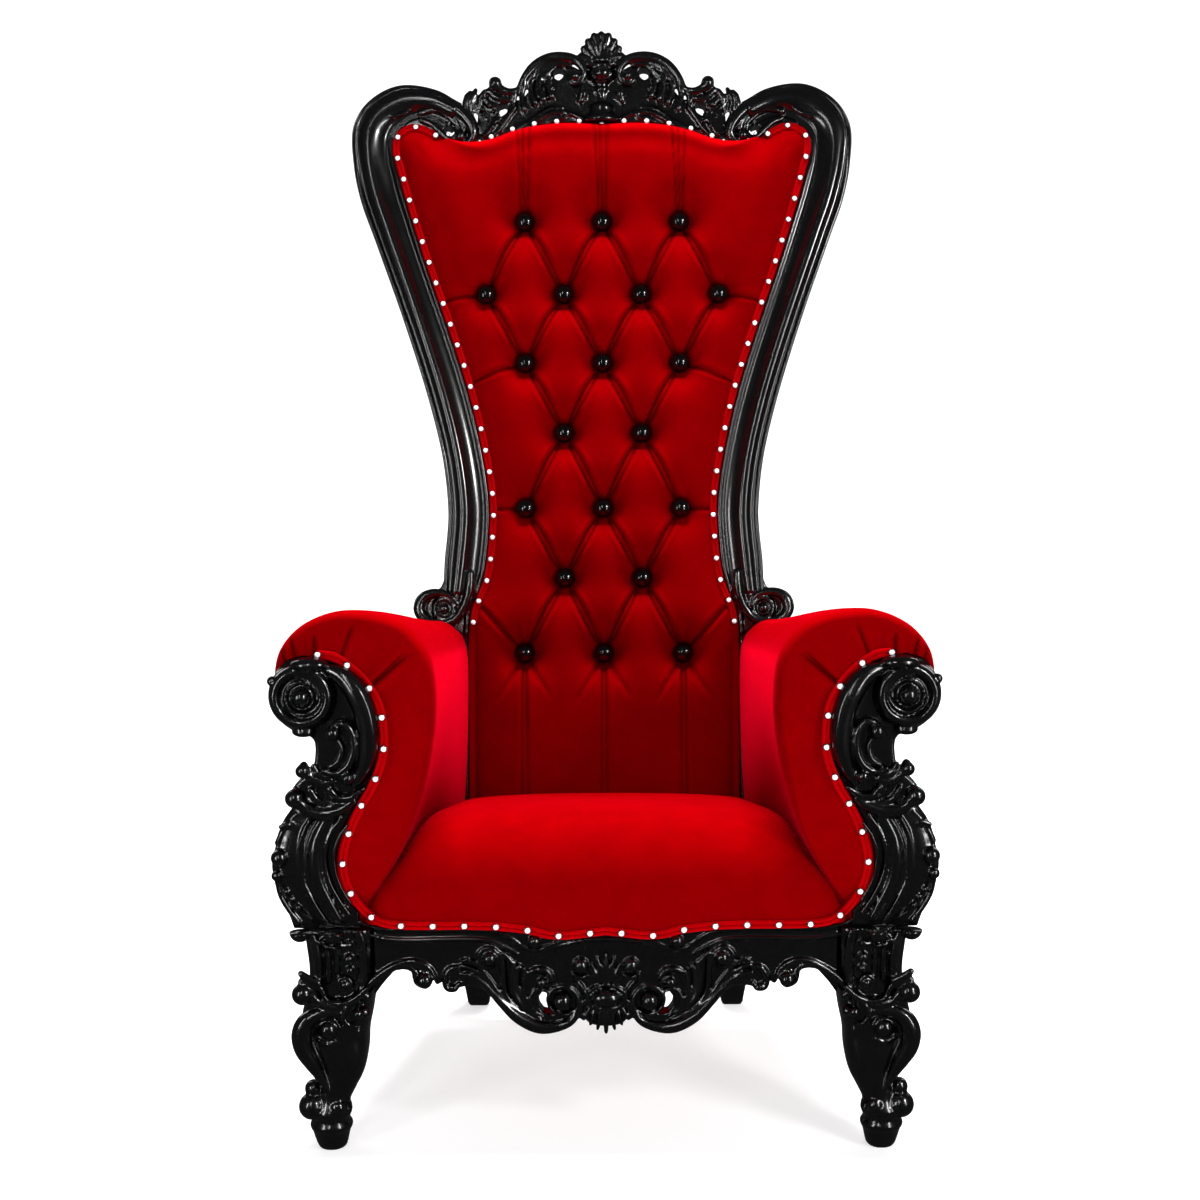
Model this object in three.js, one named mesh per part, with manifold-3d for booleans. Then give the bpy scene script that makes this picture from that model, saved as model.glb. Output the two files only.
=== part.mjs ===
// A high-backed throne chair: a carved, black lacquered frame with an upholstered, buttoned back,
// rolled arms and a domed seat. Millimetres, +Z up, the sitter faces -Y.
// Left means the -X side, the viewer's left when looking at the front.
import * as THREE from 'three';
import { mergeVertices } from 'three/addons/utils/BufferGeometryUtils.js';
import Module from 'manifold-3d';

const wasm = await Module();
wasm.setup();

// Driving sizes of the seat frame
const SEAT_RAIL_TOP = 345;
const FRONT_FACE = -385;
const LEG_CENTRE_X = 408;
const LEG_BLOCK_WIDTH = 110;
const LEG_BLOCK_DEPTH = 100;
const LEG_BLOCK_FRONT = -395;
const APRON_THICKNESS = 32;
const SIDE_RAIL_THICKNESS = 40;
const SIDE_RAIL_DEPTH = 82;
const REAR_RAIL_HEIGHT = 80;
const REAR_RAIL_THICKNESS = 32;
const REAR_FOOT_X = 238;
const REAR_FOOT_Y = 239;
const REAR_LEG_TOP_X = 290;
const REAR_LEG_TOP_Y = 188;
const REAR_LEG_HALF = 28;
const REAR_FOOT_HALF = 20;

// Driving sizes of the back, measured along its own leaning plane
const BACK_PIVOT_Y = 170;
const BACK_PIVOT_Z = 400;
const BACK_LEAN_DEG = 8.5;
const BACK_HEIGHT = 1416;
const BACK_WIDTH = 918;
const STILE_WIDTH = 73;
const BACK_FRAME_DEPTH = 52;
const BACK_POST_WIDTH = 46;
const BACK_POST_FRONT = 2;
const STILE_RELIEF = 22;
const BACK_PAD_REAR = 26;
const BACK_PAD_PUFF = 34;
const BACK_PANEL_REAR = 44;
const BUTTON_DIAMETER = 36;
const BUTTON_SEAT = 6;
const BUTTON_CLEARANCE = 2;
const DIMPLE_DIAMETER = 116;

// Driving sizes of the arms and seat
const ARM_FRONT = -378;
const ARM_HEIGHT = 829;
const ARM_OUT = 499;
const ARM_REAR_OUT = 352;
const ARM_REAR_HEIGHT = 728;
const ARM_REAR_Y = 240;
const POST_THICKNESS = 40;
const SEAT_CROWN = 499;
const SEAT_FRONT = -392;

// Clearances between pieces that touch
const GAP = 0.4;

const LACQUER = { color: 0x0b0b0c, roughness: 0.22, metalness: 0.0 };
const VELVET = { color: 0xa80010, roughness: 0.9, metalness: 0.0 };
const BUTTON_FINISH = { color: 0x08080a, roughness: 0.12, metalness: 0.0 };

const TAU = Math.PI * 2;
const degrees = (value) => (value * Math.PI) / 180;
const mix = (a, b, t) => a + (b - a) * t;

// Shared makers of closed solids

function solidFrom(geometry) {
  const bare = geometry.clone();
  bare.deleteAttribute('normal');
  bare.deleteAttribute('uv');
  const merged = mergeVertices(bare, 1e-3);
  const places = merged.attributes.position;
  const index = [];
  let volume = 0;
  const corners = [new THREE.Vector3(), new THREE.Vector3(), new THREE.Vector3()];
  for (let i = 0; i < merged.index.count; i += 3) {
    const face = [0, 1, 2].map((k) => merged.index.getX(i + k));
    if (new Set(face).size === 3) {
      index.push(...face);
      corners.forEach((corner, k) => corner.fromBufferAttribute(places, face[k]));
      volume += corners[0].dot(corners[1].cross(corners[2]));
    }
  }
  if (volume < 0) index.reverse();
  const mesh = new wasm.Mesh({
    numProp: 3,
    vertProperties: new Float32Array(places.array),
    triVerts: new Uint32Array(index),
  });
  return new wasm.Manifold(mesh);
}

function geometryFrom(solid) {
  const mesh = solid.getMesh();
  const geometry = new THREE.BufferGeometry();
  geometry.setAttribute('position', new THREE.BufferAttribute(mesh.vertProperties, 3));
  geometry.setIndex(new THREE.BufferAttribute(mesh.triVerts, 1));
  geometry.computeVertexNormals();
  return geometry;
}

const joined = (solids) => solids.reduce((sum, next) => sum.add(next));

// Rings of Vector3, all of one count, skinned one to the next and closed by a fan at each end.
function loft(rings) {
  const sides = rings[0].length;
  const points = rings.flat();
  const faces = [];
  for (let r = 0; r < rings.length - 1; r += 1) {
    for (let s = 0; s < sides; s += 1) {
      const here = r * sides + s;
      const next = r * sides + ((s + 1) % sides);
      faces.push(here, next, next + sides, here, next + sides, here + sides);
    }
  }
  const last = (rings.length - 1) * sides;
  for (const [start, flip] of [[0, true], [last, false]]) {
    const centre = new THREE.Vector3();
    for (let s = 0; s < sides; s += 1) centre.add(points[start + s]);
    points.push(centre.divideScalar(sides));
    for (let s = 0; s < sides; s += 1) {
      const here = start + s;
      const next = start + ((s + 1) % sides);
      if (flip) faces.push(points.length - 1, next, here);
      else faces.push(points.length - 1, here, next);
    }
  }
  const geometry = new THREE.BufferGeometry();
  const flat = points.flatMap((p) => [p.x, p.y, p.z]);
  geometry.setAttribute('position', new THREE.Float32BufferAttribute(flat, 3));
  geometry.setIndex(faces);
  return solidFrom(geometry);
}

// An outline in x and z, cut right through from the front y to the back y.
function plate(outline, front, back) {
  const shape = new THREE.Shape(outline.map(([x, z]) => new THREE.Vector2(x, z)));
  const geometry = new THREE.ExtrudeGeometry(shape, { depth: back - front, bevelEnabled: false });
  geometry.rotateX(Math.PI / 2);
  geometry.translate(0, back, 0);
  return solidFrom(geometry);
}

function box(low, high) {
  const size = high.map((value, i) => value - low[i]);
  const geometry = new THREE.BoxGeometry(...size);
  geometry.translate(...low.map((value, i) => value + size[i] / 2));
  return solidFrom(geometry);
}

// A smooth line through points in x and z, as pairs.
function smooth(points, count, closed = false) {
  const knots = points.map(([x, z]) => new THREE.Vector3(x, 0, z));
  const curve = new THREE.CatmullRomCurve3(knots, closed, 'centripetal');
  const line = curve.getSpacedPoints(count).map((p) => [p.x, p.z]);
  if (closed) line.pop();
  return line;
}

// Pairs along a spiral, from one radius and angle in degrees to another.
function spiral([x, z], [radiusA, radiusB], [angleA, angleB], count) {
  return Array.from({ length: count + 1 }, (_, i) => {
    const t = i / count;
    const angle = degrees(mix(angleA, angleB, t));
    const radius = mix(radiusA, radiusB, t);
    return [x + radius * Math.cos(angle), z + radius * Math.sin(angle)];
  });
}

// The unit vector square to the line at each of its points, in x and z.
function normals(line) {
  return line.map((_, i) => {
    const [x0, z0] = line[Math.max(i - 1, 0)];
    const [x1, z1] = line[Math.min(i + 1, line.length - 1)];
    const length = Math.hypot(x1 - x0, z1 - z0) || 1;
    return [-(z1 - z0) / length, (x1 - x0) / length];
  });
}

// A carved strand: a ridged section swept along a line at depth y, tapering from one half width to the other.
function strand(line, [halfA, halfB], y, rise = 1.3, sides = 3) {
  const square = normals(line);
  const rings = line.map(([x, z], i) => {
    const half = mix(halfA, halfB, i / (line.length - 1));
    const [nx, nz] = square[i];
    return Array.from({ length: sides }, (_, s) => {
      const angle = (s / sides) * TAU;
      const across = Math.sin(angle) * half;
      return new THREE.Vector3(x + nx * across, y - Math.cos(angle) * half * rise, z + nz * across);
    });
  });
  return loft(rings);
}

function ball([x, y, z], radius, stretch = [1, 1, 1], sides = 6) {
  const geometry = new THREE.SphereGeometry(radius, sides, 3);
  geometry.scale(...stretch);
  geometry.translate(x, y, z);
  return solidFrom(geometry);
}

// A turned rosette facing -Y: pairs of radius and height in front of y.
function rosette([x, z], y, profile, depth, sides = 7) {
  const rim = profile[profile.length - 1][0];
  const line = [...profile, [rim, -depth], [0, -depth]];
  const points = line.map(([radius, height]) => new THREE.Vector2(radius, -height));
  const geometry = new THREE.LatheGeometry(points, sides);
  geometry.translate(x, y, z);
  return solidFrom(geometry);
}

// A shell: lobes spread from a centre, from one angle in degrees to the other.
function shell([x, z], reach, [angleA, angleB], count, halfWidth, y, side = 0.72) {
  const lobes = Array.from({ length: count }, (_, i) => {
    const t = i / (count - 1);
    const angle = degrees(mix(angleA, angleB, t));
    const length = reach * mix(side, 1, Math.sin(t * Math.PI));
    const line = [0.15, 0.7, 1].map((share) => [
      x + Math.cos(angle) * length * share,
      z + Math.sin(angle) * length * share,
    ]);
    return strand(line, [halfWidth * 0.6, halfWidth], y);
  });
  return joined(lobes);
}

const mirrored = (solid) => solid.mirror([1, 0, 0]);
const flipped = (line) => line.map(([x, z]) => [-x, z]).reverse();

function offsetLine(line, distance) {
  const square = normals(line);
  return line.map(([x, z], i) => [x + square[i][0] * distance, z + square[i][1] * distance]);
}

// The closed outline moved outwards by a distance, for a clearance round a piece.
function grown(outline, distance) {
  const count = outline.length;
  let area = 0;
  outline.forEach(([x, z], i) => {
    const [nextX, nextZ] = outline[(i + 1) % count];
    area += x * nextZ - nextX * z;
  });
  const side = area > 0 ? 1 : -1;
  return outline.map(([x, z], i) => {
    const [x0, z0] = outline[(i + count - 1) % count];
    const [x1, z1] = outline[(i + 1) % count];
    const length = Math.hypot(x1 - x0, z1 - z0) || 1;
    return [x + (side * (z1 - z0) * distance) / length, z - (side * (x1 - x0) * distance) / length];
  });
}

// Places on the back, as shares of its own width and height
const acrossBack = (share) => share * BACK_WIDTH;
const upBack = (share) => share * BACK_HEIGHT;
const onBack = (pairs) => pairs.map(([x, z]) => [acrossBack(x), upBack(z)]);
const CARVING = BACK_HEIGHT / 1416;

// The opening of the back frame, left half, from the bottom to the middle of the top
const BACK_BASE = -62;
const OPENING_STEPS = 21;
const OPENING_SIDE = onBack([
  [-0.268, 0.15], [-0.268, 0.216], [-0.262, 0.25], [-0.238, 0.29], [-0.228, 0.34],
  [-0.226, 0.39], [-0.241, 0.456], [-0.269, 0.534], [-0.307, 0.612], [-0.348, 0.69],
  [-0.386, 0.768], [-0.409, 0.822], [-0.4185, 0.846],
]);
const OPENING_TOP = onBack([
  [-0.414, 0.864], [-0.402, 0.8745], [-0.384, 0.8795], [-0.364, 0.8795], [-0.344, 0.8745],
  [-0.314, 0.864], [-0.27, 0.8575], [-0.226, 0.86], [-0.18, 0.8705], [-0.14, 0.877],
  [-0.08, 0.881], [0, 0.8797],
]);
const OPENING_HALF = [
  [acrossBack(-0.268), BACK_BASE],
  ...smooth([...OPENING_SIDE, ...OPENING_TOP], OPENING_STEPS),
];
const OPENING = [...OPENING_HALF, ...flipped(OPENING_HALF).slice(1)];

const backMatrix = new THREE.Matrix4()
  .makeTranslation(0, BACK_PIVOT_Y, BACK_PIVOT_Z)
  .multiply(new THREE.Matrix4().makeRotationX(-degrees(BACK_LEAN_DEG)));
const toBack = (solid) => solid.transform(backMatrix.clone().invert().elements);
const fromBack = (solid) => solid.transform(backMatrix.elements);

const FAR = 2000;
const belowRails = box([-FAR, -FAR, -FAR], [FAR, FAR, SEAT_RAIL_TOP + GAP]);
const aboveRails = box([-FAR, -FAR, SEAT_RAIL_TOP], [FAR, FAR, FAR]);
const belowRailsFromBack = toBack(belowRails);

// The stile: a moulded section swept from the lower volute, up and over the ear, to the ear's eye
const STILE_OUTER = onBack([
  [-0.319, 0.27], [-0.3165, 0.313], [-0.3105, 0.352], [-0.309, 0.378], [-0.319, 0.443],
  [-0.347, 0.52], [-0.397, 0.624], [-0.4535, 0.728], [-0.482, 0.78], [-0.496, 0.826],
  [-0.4965, 0.878], [-0.466, 0.91], [-0.4085, 0.93], [-0.34, 0.9265], [-0.28, 0.907],
]);
const STILE_STEPS = 14;
const EAR_EYE = [acrossBack(-0.272), upBack(0.8735)];
const EAR_SCROLL_RADII = [37, 15];
const EAR_CLEARANCE = 58;
const VOLUTE_PLACE = [-0.316, 0.25];
const VOLUTE_RADIUS = 36 * CARVING;
const stileInset = STILE_WIDTH / 2;

// Pairs of place across the section, from the outer edge at -1 to the inner at 1, and height in front.
const STILE_SECTION = [
  [-1, 3], [-0.83, 10], [-0.68, 4], [-0.32, 18], [0.18, 4], [0.75, 1], [0.9, 6], [1.1, 3],
];

function stileRing([x, z], [nx, nz], half) {
  const places = STILE_SECTION.map(([across, height]) => (
    new THREE.Vector3(x - nx * across * half, -height, z - nz * across * half)
  ));
  const rear = [1.1, -1].map((across) => (
    new THREE.Vector3(x - nx * across * half, BACK_FRAME_DEPTH, z - nz * across * half)
  ));
  return [...places, ...rear];
}

function backStile() {
  const outer = smooth(STILE_OUTER, STILE_STEPS);
  const centre = offsetLine(outer, -stileInset);
  const square = normals(centre);
  const rings = centre.map((place, i) => {
    const along = i / (centre.length - 1);
    const half = stileInset * mix(1, 0.72, Math.max(0, (along - 0.8) / 0.2));
    return stileRing(place, square[i], half);
  });
  const rail = loft(rings);

  const curl = spiral(EAR_EYE, EAR_SCROLL_RADII, [140, -190], 8);
  const scroll = strand(curl, [17 * CARVING, 9 * CARVING], 7, 1.2);
  const backing = spiral(EAR_EYE, EAR_SCROLL_RADII, [140, -120], 6);
  const web = plate([...backing, EAR_EYE], 6, BACK_FRAME_DEPTH);
  const eye = ball([EAR_EYE[0], 7, EAR_EYE[1]], 12 * CARVING, [1, 1.3, 1]);

  const voluteCentre = onBack([VOLUTE_PLACE])[0];
  const rings2 = [[0, 16], [11, 12], [15, 4], [26, 15], [34, 6]];
  const volute = rosette(voluteCentre, -4, rings2.map(([r, h]) => [r * CARVING, h]), 40);
  const wrap = ball(
    [voluteCentre[0] - 17 * CARVING, 6, voluteCentre[1]],
    VOLUTE_RADIUS,
    [0.84, 0.6, 1],
    7,
  );

  const postOuter = acrossBack(-0.268) - GAP - BACK_POST_WIDTH;
  const post = box(
    [postOuter, BACK_POST_FRONT, BACK_BASE - 40],
    [acrossBack(-0.268) - GAP, BACK_FRAME_DEPTH, upBack(0.256)],
  );
  const whole = joined([rail, scroll, web, eye, volute, wrap, post]);
  return whole.subtract(plate(grown(OPENING, GAP), -FAR, FAR)).subtract(belowRailsFromBack);
}

// The ear's own outline, grown by the gap, clears the crest that stands between the two ears.
function earClearance() {
  const outer = smooth(STILE_OUTER, STILE_STEPS).slice(Math.floor(STILE_STEPS / 2));
  const disc = spiral(EAR_EYE, [EAR_CLEARANCE, EAR_CLEARANCE], [0, 320], 8);
  const strip = [...offsetLine(outer, GAP), ...offsetLine(outer, -STILE_WIDTH).reverse()];
  return plate(disc, -FAR, FAR).add(plate(strip, -FAR, FAR));
}

// The crest: a pierced plate with two C-scrolls, leaves, an urn and a shell
const CREST_TOP = onBack([
  [-0.25, 0.868], [-0.246, 0.905], [-0.232, 0.926], [-0.212, 0.938], [-0.19, 0.93],
  [-0.165, 0.917], [-0.145, 0.93], [-0.125, 0.952], [-0.095, 0.967], [-0.06, 0.962],
  [-0.035, 0.955], [0, 0.975],
]);

function crestRail() {
  const half = smooth(CREST_TOP, 12);
  const outline = [...half, ...flipped(half).slice(1), [acrossBack(0.25), upBack(0.85)],
    [acrossBack(-0.25), upBack(0.85)]];
  const front = 3;
  const board = plate(outline, front - 1, BACK_FRAME_DEPTH - 10);
  const c = CARVING;
  const eye = [acrossBack(-0.048), upBack(0.942)];
  const curl = spiral(eye, [13 * c, 30 * c], [-120, -450], 8);
  const sweep = smooth(
    [curl[curl.length - 1], ...onBack([[-0.09, 0.968], [-0.128, 0.953], [-0.15, 0.925], [-0.182, 0.908]])],
    6,
  );
  const knob = onBack([[-0.168, 0.914], [-0.19, 0.918], [-0.208, 0.928], [-0.212, 0.938]]);
  const hook = spiral(onBack([[-0.226, 0.9]])[0], [20 * c, 10 * c], [100, -130], 5);
  const moulding = smooth(onBack([
    [-0.236, 0.868], [-0.18, 0.8755], [-0.13, 0.888], [-0.08, 0.8965], [-0.04, 0.892], [0, 0.888],
  ]), 6);
  const leaves = [-0.115, -0.15].map((x, i) => strand(
    smooth(onBack([[x + 0.01, 0.948 - i * 0.012], [x - 0.006, 0.925 - i * 0.006], [x + 0.016, 0.905]]), 3),
    [5 * c, 9 * c],
    front,
  ));
  const left = joined([
    strand(curl, [7 * c, 9 * c], front),
    ball([eye[0], front, eye[1]], 9 * c),
    strand(sweep, [9 * c, 13 * c], front),
    strand(knob, [8 * c, 13 * c], front),
    strand(hook, [8 * c, 6 * c], front),
    strand(moulding, [7 * c, 7 * c], front),
    ball([acrossBack(-0.032), front, upBack(0.9145)], 12 * c),
    ...leaves,
  ]);
  const urnProfile = [
    [0, 0.886], [24, 0.888], [20, 0.899], [12, 0.906], [12, 0.922], [19, 0.932], [21, 0.944], [12, 0.955], [0, 0.956],
  ].map(([r, share]) => new THREE.Vector2(r * c, upBack(share)));
  const turned = new THREE.LatheGeometry(urnProfile, 7);
  turned.rotateX(Math.PI / 2);
  const urn = solidFrom(turned);
  const palmette = shell([0, upBack(0.95)], upBack(0.05), [10, 170], 7, 11 * c, front, 0.5);
  const holes = [[-0.085, 0.9455, 8], [-0.1985, 0.9, 6]].map(([x, z, r]) => {
    const round = spiral([acrossBack(x), upBack(z)], [r * c, r * c], [0, 300], 5);
    return plate(round, -FAR, FAR);
  });
  const pierced = joined(holes);
  return joined([board, left, mirrored(left), urn, palmette])
    .subtract(pierced)
    .subtract(mirrored(pierced))
    .subtract(plate(grown(OPENING, GAP), -FAR, FAR))
    .subtract(earClearance())
    .subtract(mirrored(earClearance()));
}

// The buttoned pad: rows of buttons, as a height up the back and places across it
const BUTTON_ROWS = [
  [0.752, [-0.154, 0, 0.154]],
  [0.658, [-0.2315, -0.077, 0.077, 0.2315]],
  [0.5687, [-0.154, 0, 0.154]],
  [0.478, [-0.077, 0.077]],
  [0.3809, [-0.154, 0, 0.154]],
  [0.2905, [-0.077, 0.077]],
  [0.1937, [-0.157, 0, 0.157]],
];
const BUTTONS = BUTTON_ROWS.flatMap(([z, places]) => onBack(places.map((x) => [x, z])));

// The pad's section across its width: how far the front stands out, from the edge at 0 to the middle at 1.
const puffAt = (share) => BACK_PAD_PUFF * Math.sin(Math.min(1, share * 3.2) * (Math.PI / 2));

function backPad() {
  const rows = 12;
  const across = 6;
  const outline = OPENING_HALF.slice(1);
  const top = outline[outline.length - 1][1];
  const rings = [];
  const widthAt = (z) => {
    for (let i = 1; i < OPENING_HALF.length; i += 1) {
      const [x0, z0] = OPENING_HALF[i - 1];
      const [x1, z1] = OPENING_HALF[i];
      if (z >= z0 && z <= z1) return -mix(x0, x1, (z - z0) / (z1 - z0 || 1));
    }
    return -outline[Math.floor(outline.length * 0.7)][0];
  };
  for (let r = 0; r <= rows; r += 1) {
    const z = mix(BACK_BASE, top + 10, r / rows);
    const half = widthAt(Math.min(z, upBack(0.85))) + 4;
    const ends = Math.min(1, ((top + 10 - z) / 30));
    const ring = [];
    for (let s = 0; s <= across; s += 1) {
      const x = mix(-half, half, s / across);
      const share = 1 - Math.abs(x) / half;
      ring.push(new THREE.Vector3(x, -puffAt(share + 0.04) * ends, z));
    }
    ring.push(new THREE.Vector3(half, BACK_PAD_REAR, z), new THREE.Vector3(-half, BACK_PAD_REAR, z));
    rings.push(ring);
  }
  const seatCorner = (BUTTON_DIAMETER / 2 + BUTTON_CLEARANCE) * Math.SQRT2;
  const dimples = BUTTONS.map(([x, z]) => {
    const cone = [
      [0, BUTTON_SEAT], [seatCorner, BUTTON_SEAT], [DIMPLE_DIAMETER / 2, -BACK_PAD_PUFF],
      [DIMPLE_DIAMETER / 2, -BACK_PAD_PUFF - 4], [0, -BACK_PAD_PUFF - 4],
    ].map(([radius, y]) => new THREE.Vector2(radius, y));
    const geometry = new THREE.LatheGeometry(cone, 4);
    geometry.translate(x, 0, z);
    return solidFrom(geometry);
  });
  return loft(rings)
    .intersect(plate(OPENING, -FAR, FAR))
    .subtract(joined(dimples))
    .subtract(belowRailsFromBack);
}

function backPanel() {
  const outline = grown(OPENING, -GAP);
  return plate(outline, BACK_PAD_REAR + GAP, BACK_PANEL_REAR).subtract(belowRailsFromBack);
}

// One button, a turned dome with its flat back on the pad, in its own frame facing -Y.
const BUTTON_DROP = 0.42;

function buttonGeometry() {
  const radius = BUTTON_DIAMETER / 2;
  const dome = [[0, 1], [0.8, 0.6], [1, -BUTTON_DROP], [0, -BUTTON_DROP]];
  const points = dome.map(([r, height]) => new THREE.Vector2(r * radius, -height * radius));
  return geometryFrom(solidFrom(new THREE.LatheGeometry(points.reverse(), 6)));
}
const BUTTON_CENTRE = BUTTON_SEAT - GAP - BUTTON_DROP * (BUTTON_DIAMETER / 2);

// The left arm's cross-sections at its rolled front and its narrow rear.
// Across is a share of the arm's reach from the middle, up a share from the seat rail to the roll's top.
const ARM_FRONT_SECTION = [
  [-0.745, 0], [-0.718, 0.075], [-0.677, 0.135], [-0.603, 0.28], [-0.55, 0.44], [-0.515, 0.62], [-0.509, 0.74],
  [-0.528, 0.865], [-0.601, 0.96], [-0.701, 0.996], [-0.81, 1], [-0.918, 0.955], [-0.982, 0.88], [-1, 0.79],
  [-0.982, 0.7], [-0.922, 0.63], [-0.866, 0.58], [-0.858, 0.4], [-0.874, 0.2], [-0.866, 0],
];
const ARM_REAR_SECTION = [
  [-0.702, 0], [-0.702, 0.075], [-0.702, 0.16], [-0.702, 0.3], [-0.702, 0.45], [-0.702, 0.63], [-0.702, 0.76],
  [-0.713, 0.88], [-0.75, 0.955], [-0.807, 0.995], [-0.869, 1], [-0.932, 0.97], [-0.977, 0.9], [-1, 0.82],
  [-0.994, 0.73], [-0.972, 0.66], [-0.949, 0.6], [-0.943, 0.4], [-0.949, 0.2], [-0.943, 0],
];

function armPad(clearance = 0) {
  const steps = [-0.02, 0, 0.04, 0.3, 0.6, 1];
  const rings = steps.map((step) => {
    const t = Math.max(step, 0);
    const ease = t * t * (3 - 2 * t) * 0.35 + t * 0.65;
    const height = mix(ARM_HEIGHT, ARM_REAR_HEIGHT, ease) - SEAT_RAIL_TOP;
    const shrink = step < 0 ? 0.965 : 1;
    const section = ARM_FRONT_SECTION.map(([xf, zf], i) => {
      const [xr, zr] = ARM_REAR_SECTION[i];
      const x = mix(xf * ARM_OUT, xr * ARM_REAR_OUT, ease);
      return [x, SEAT_RAIL_TOP + GAP + mix(zf, zr, ease) * height];
    });
    const middle = section.reduce((sum, [x]) => sum + x, 0) / section.length;
    const sized = grown(section, clearance).map(([x, z]) => (
      [middle + (x - middle) * shrink, SEAT_RAIL_TOP + (z - SEAT_RAIL_TOP) * (step < 0 ? 0.985 : 1)]
    ));
    const y = step < 0 ? ARM_FRONT - 8 : mix(ARM_FRONT, ARM_REAR_Y, t);
    return sized.map(([x, z]) => new THREE.Vector3(x, y, z));
  });
  return loft(rings);
}

// What the arms and seat leave to the back: its pad, its posts and, higher up, its moulded stiles.
const voluteBottom = upBack(VOLUTE_PLACE[1]) - VOLUTE_RADIUS - GAP;
const backSpace = fromBack(joined([
  plate(grown(OPENING, GAP), -BACK_PAD_PUFF - GAP, FAR),
  box([-FAR, BACK_POST_FRONT - GAP, -FAR], [FAR, FAR, FAR]),
  box([-FAR, -STILE_RELIEF - GAP, voluteBottom], [FAR, FAR, FAR]),
]));

// The left arm post's outline, in the same shares as the arm's front section.
const POST_OUTER = [
  [-0.946, -0.002], [-0.98, 0.1], [-1.004, 0.157], [-1.008, 0.22], [-0.988, 0.285], [-0.958, 0.348], [-0.93, 0.365],
  [-0.948, 0.397], [-0.944, 0.442], [-0.912, 0.478], [-0.88, 0.506], [-0.872, 0.6], [-0.89, 0.613],
  [-0.934, 0.629], [-0.982, 0.672], [-1.002, 0.741], [-0.986, 0.803], [-0.946, 0.849], [-0.896, 0.865],
];
const POST_INNER = [
  [-0.844, 0.857], [-0.8, 0.842], [-0.764, 0.827], [-0.725, 0.792], [-0.691, 0.748], [-0.667, 0.698],
  [-0.657, 0.645], [-0.657, 0.583], [-0.671, 0.529], [-0.695, 0.479], [-0.725, 0.434], [-0.758, 0.377],
  [-0.788, 0.314], [-0.806, 0.25], [-0.81, 0.192], [-0.802, 0.138], [-0.778, 0.09], [-0.747, 0.051],
];
const postPlace = ([x, share]) => [
  x * ARM_OUT,
  SEAT_RAIL_TOP + share * (ARM_HEIGHT - SEAT_RAIL_TOP),
];
const postPlaces = (pairs) => pairs.map(postPlace);
const POST_OUTLINE = [
  ...smooth(postPlaces(POST_OUTER), 20),
  ...smooth(postPlaces(POST_INNER), 14),
  postPlace([-0.7455, -0.002]),
];
const POST_BACK = FRONT_FACE + POST_THICKNESS;
const postClear = plate(grown(POST_OUTLINE, GAP), -FAR, POST_BACK + GAP);

function armPost() {
  const front = FRONT_FACE + 2;
  const board = plate(POST_OUTLINE, front - 1, POST_BACK);
  const at = (x, share) => postPlace([x, share]);
  const raised = (x, share, radius, stretch = [1, 1.1, 1]) => {
    const [px, pz] = at(x, share);
    return ball([px, front, pz], radius, stretch);
  };
  const volute = rosette(at(-0.888, 0.742), front, [
    [0, 30], [13, 26], [20, 13], [27, 18], [31, 11], [43, 21], [52, 4],
  ], 20, 10);
  const stem = strand(smooth(postPlaces([
    [-0.852, 0.83], [-0.786, 0.805], [-0.733, 0.745], [-0.709, 0.66], [-0.705, 0.58], [-0.725, 0.5], [-0.754, 0.455],
  ]), 5), [15, 17], front);
  const inner = strand(
    spiral(at(-0.802, 0.525), [30, 24], [120, -120], 5),
    [11, 7],
    front,
  );
  const cuffs = [[0.46, -0.906, -0.705], [0.385, -0.918, -0.75]].map(([share, left, right], i) => (
    strand(smooth(postPlaces([[left, share + 0.02], [mix(left, right, 0.5), share - 0.025], [right, share + 0.03]]), 3),
      [18 - i * 2, 11], front)
  ));
  const ribs = [-0.858, -0.918].map((x, i) => strand(smooth(postPlaces([
    [x + 0.052, 0.345], [x - 0.008, 0.275], [x - 0.016, 0.2], [x + 0.016, 0.11], [x + 0.068, 0.03],
  ]), 4), [11, 11], front));
  const oval = raised(-0.966, 0.25, 17, [0.75, 0.9, 1.9]);
  return joined([
    board, volute, stem, inner, ...cuffs, ...ribs, oval,
    raised(-0.874, 0.85, 26, [1.1, 0.7, 0.42]),
    raised(-0.812, 0.6, 15),
    raised(-0.926, 0.385, 15),
    raised(-0.912, 0.468, 15),
    raised(-0.741, 0.465, 11),
  ]).intersect(plate(POST_OUTLINE, -FAR, FAR)).subtract(belowRails);
}

// The front leg: a cabriole from its square block down to a turned foot.
// Rows of height as a share of the rail's, the middle and the half sizes as shares of the block, and squareness.
const FRONT_LEG_SECTIONS = [
  [0, -0.12, -0.35, 0.18, 0.2, 2], [0.08, -0.13, -0.35, 0.26, 0.28, 2], [0.105, -0.13, -0.35, 0.285, 0.31, 2],
  [0.13, -0.13, -0.35, 0.25, 0.28, 2], [0.165, -0.13, -0.35, 0.285, 0.31, 2], [0.21, -0.11, -0.33, 0.245, 0.27, 2],
  [0.34, 0.03, -0.24, 0.32, 0.34, 2.6], [0.435, -0.03, -0.15, 0.43, 0.43, 3], [0.515, -0.09, -0.08, 0.5, 0.48, 3.2],
  [0.6, -0.05, -0.03, 0.525, 0.5, 3.6], [0.8, 0.045, 0, 0.455, 0.5, 5], [0.94, 0.02, 0, 0.49, 0.5, 6],
  [1, 0, 0, 0.5, 0.5, 6],
];

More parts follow.
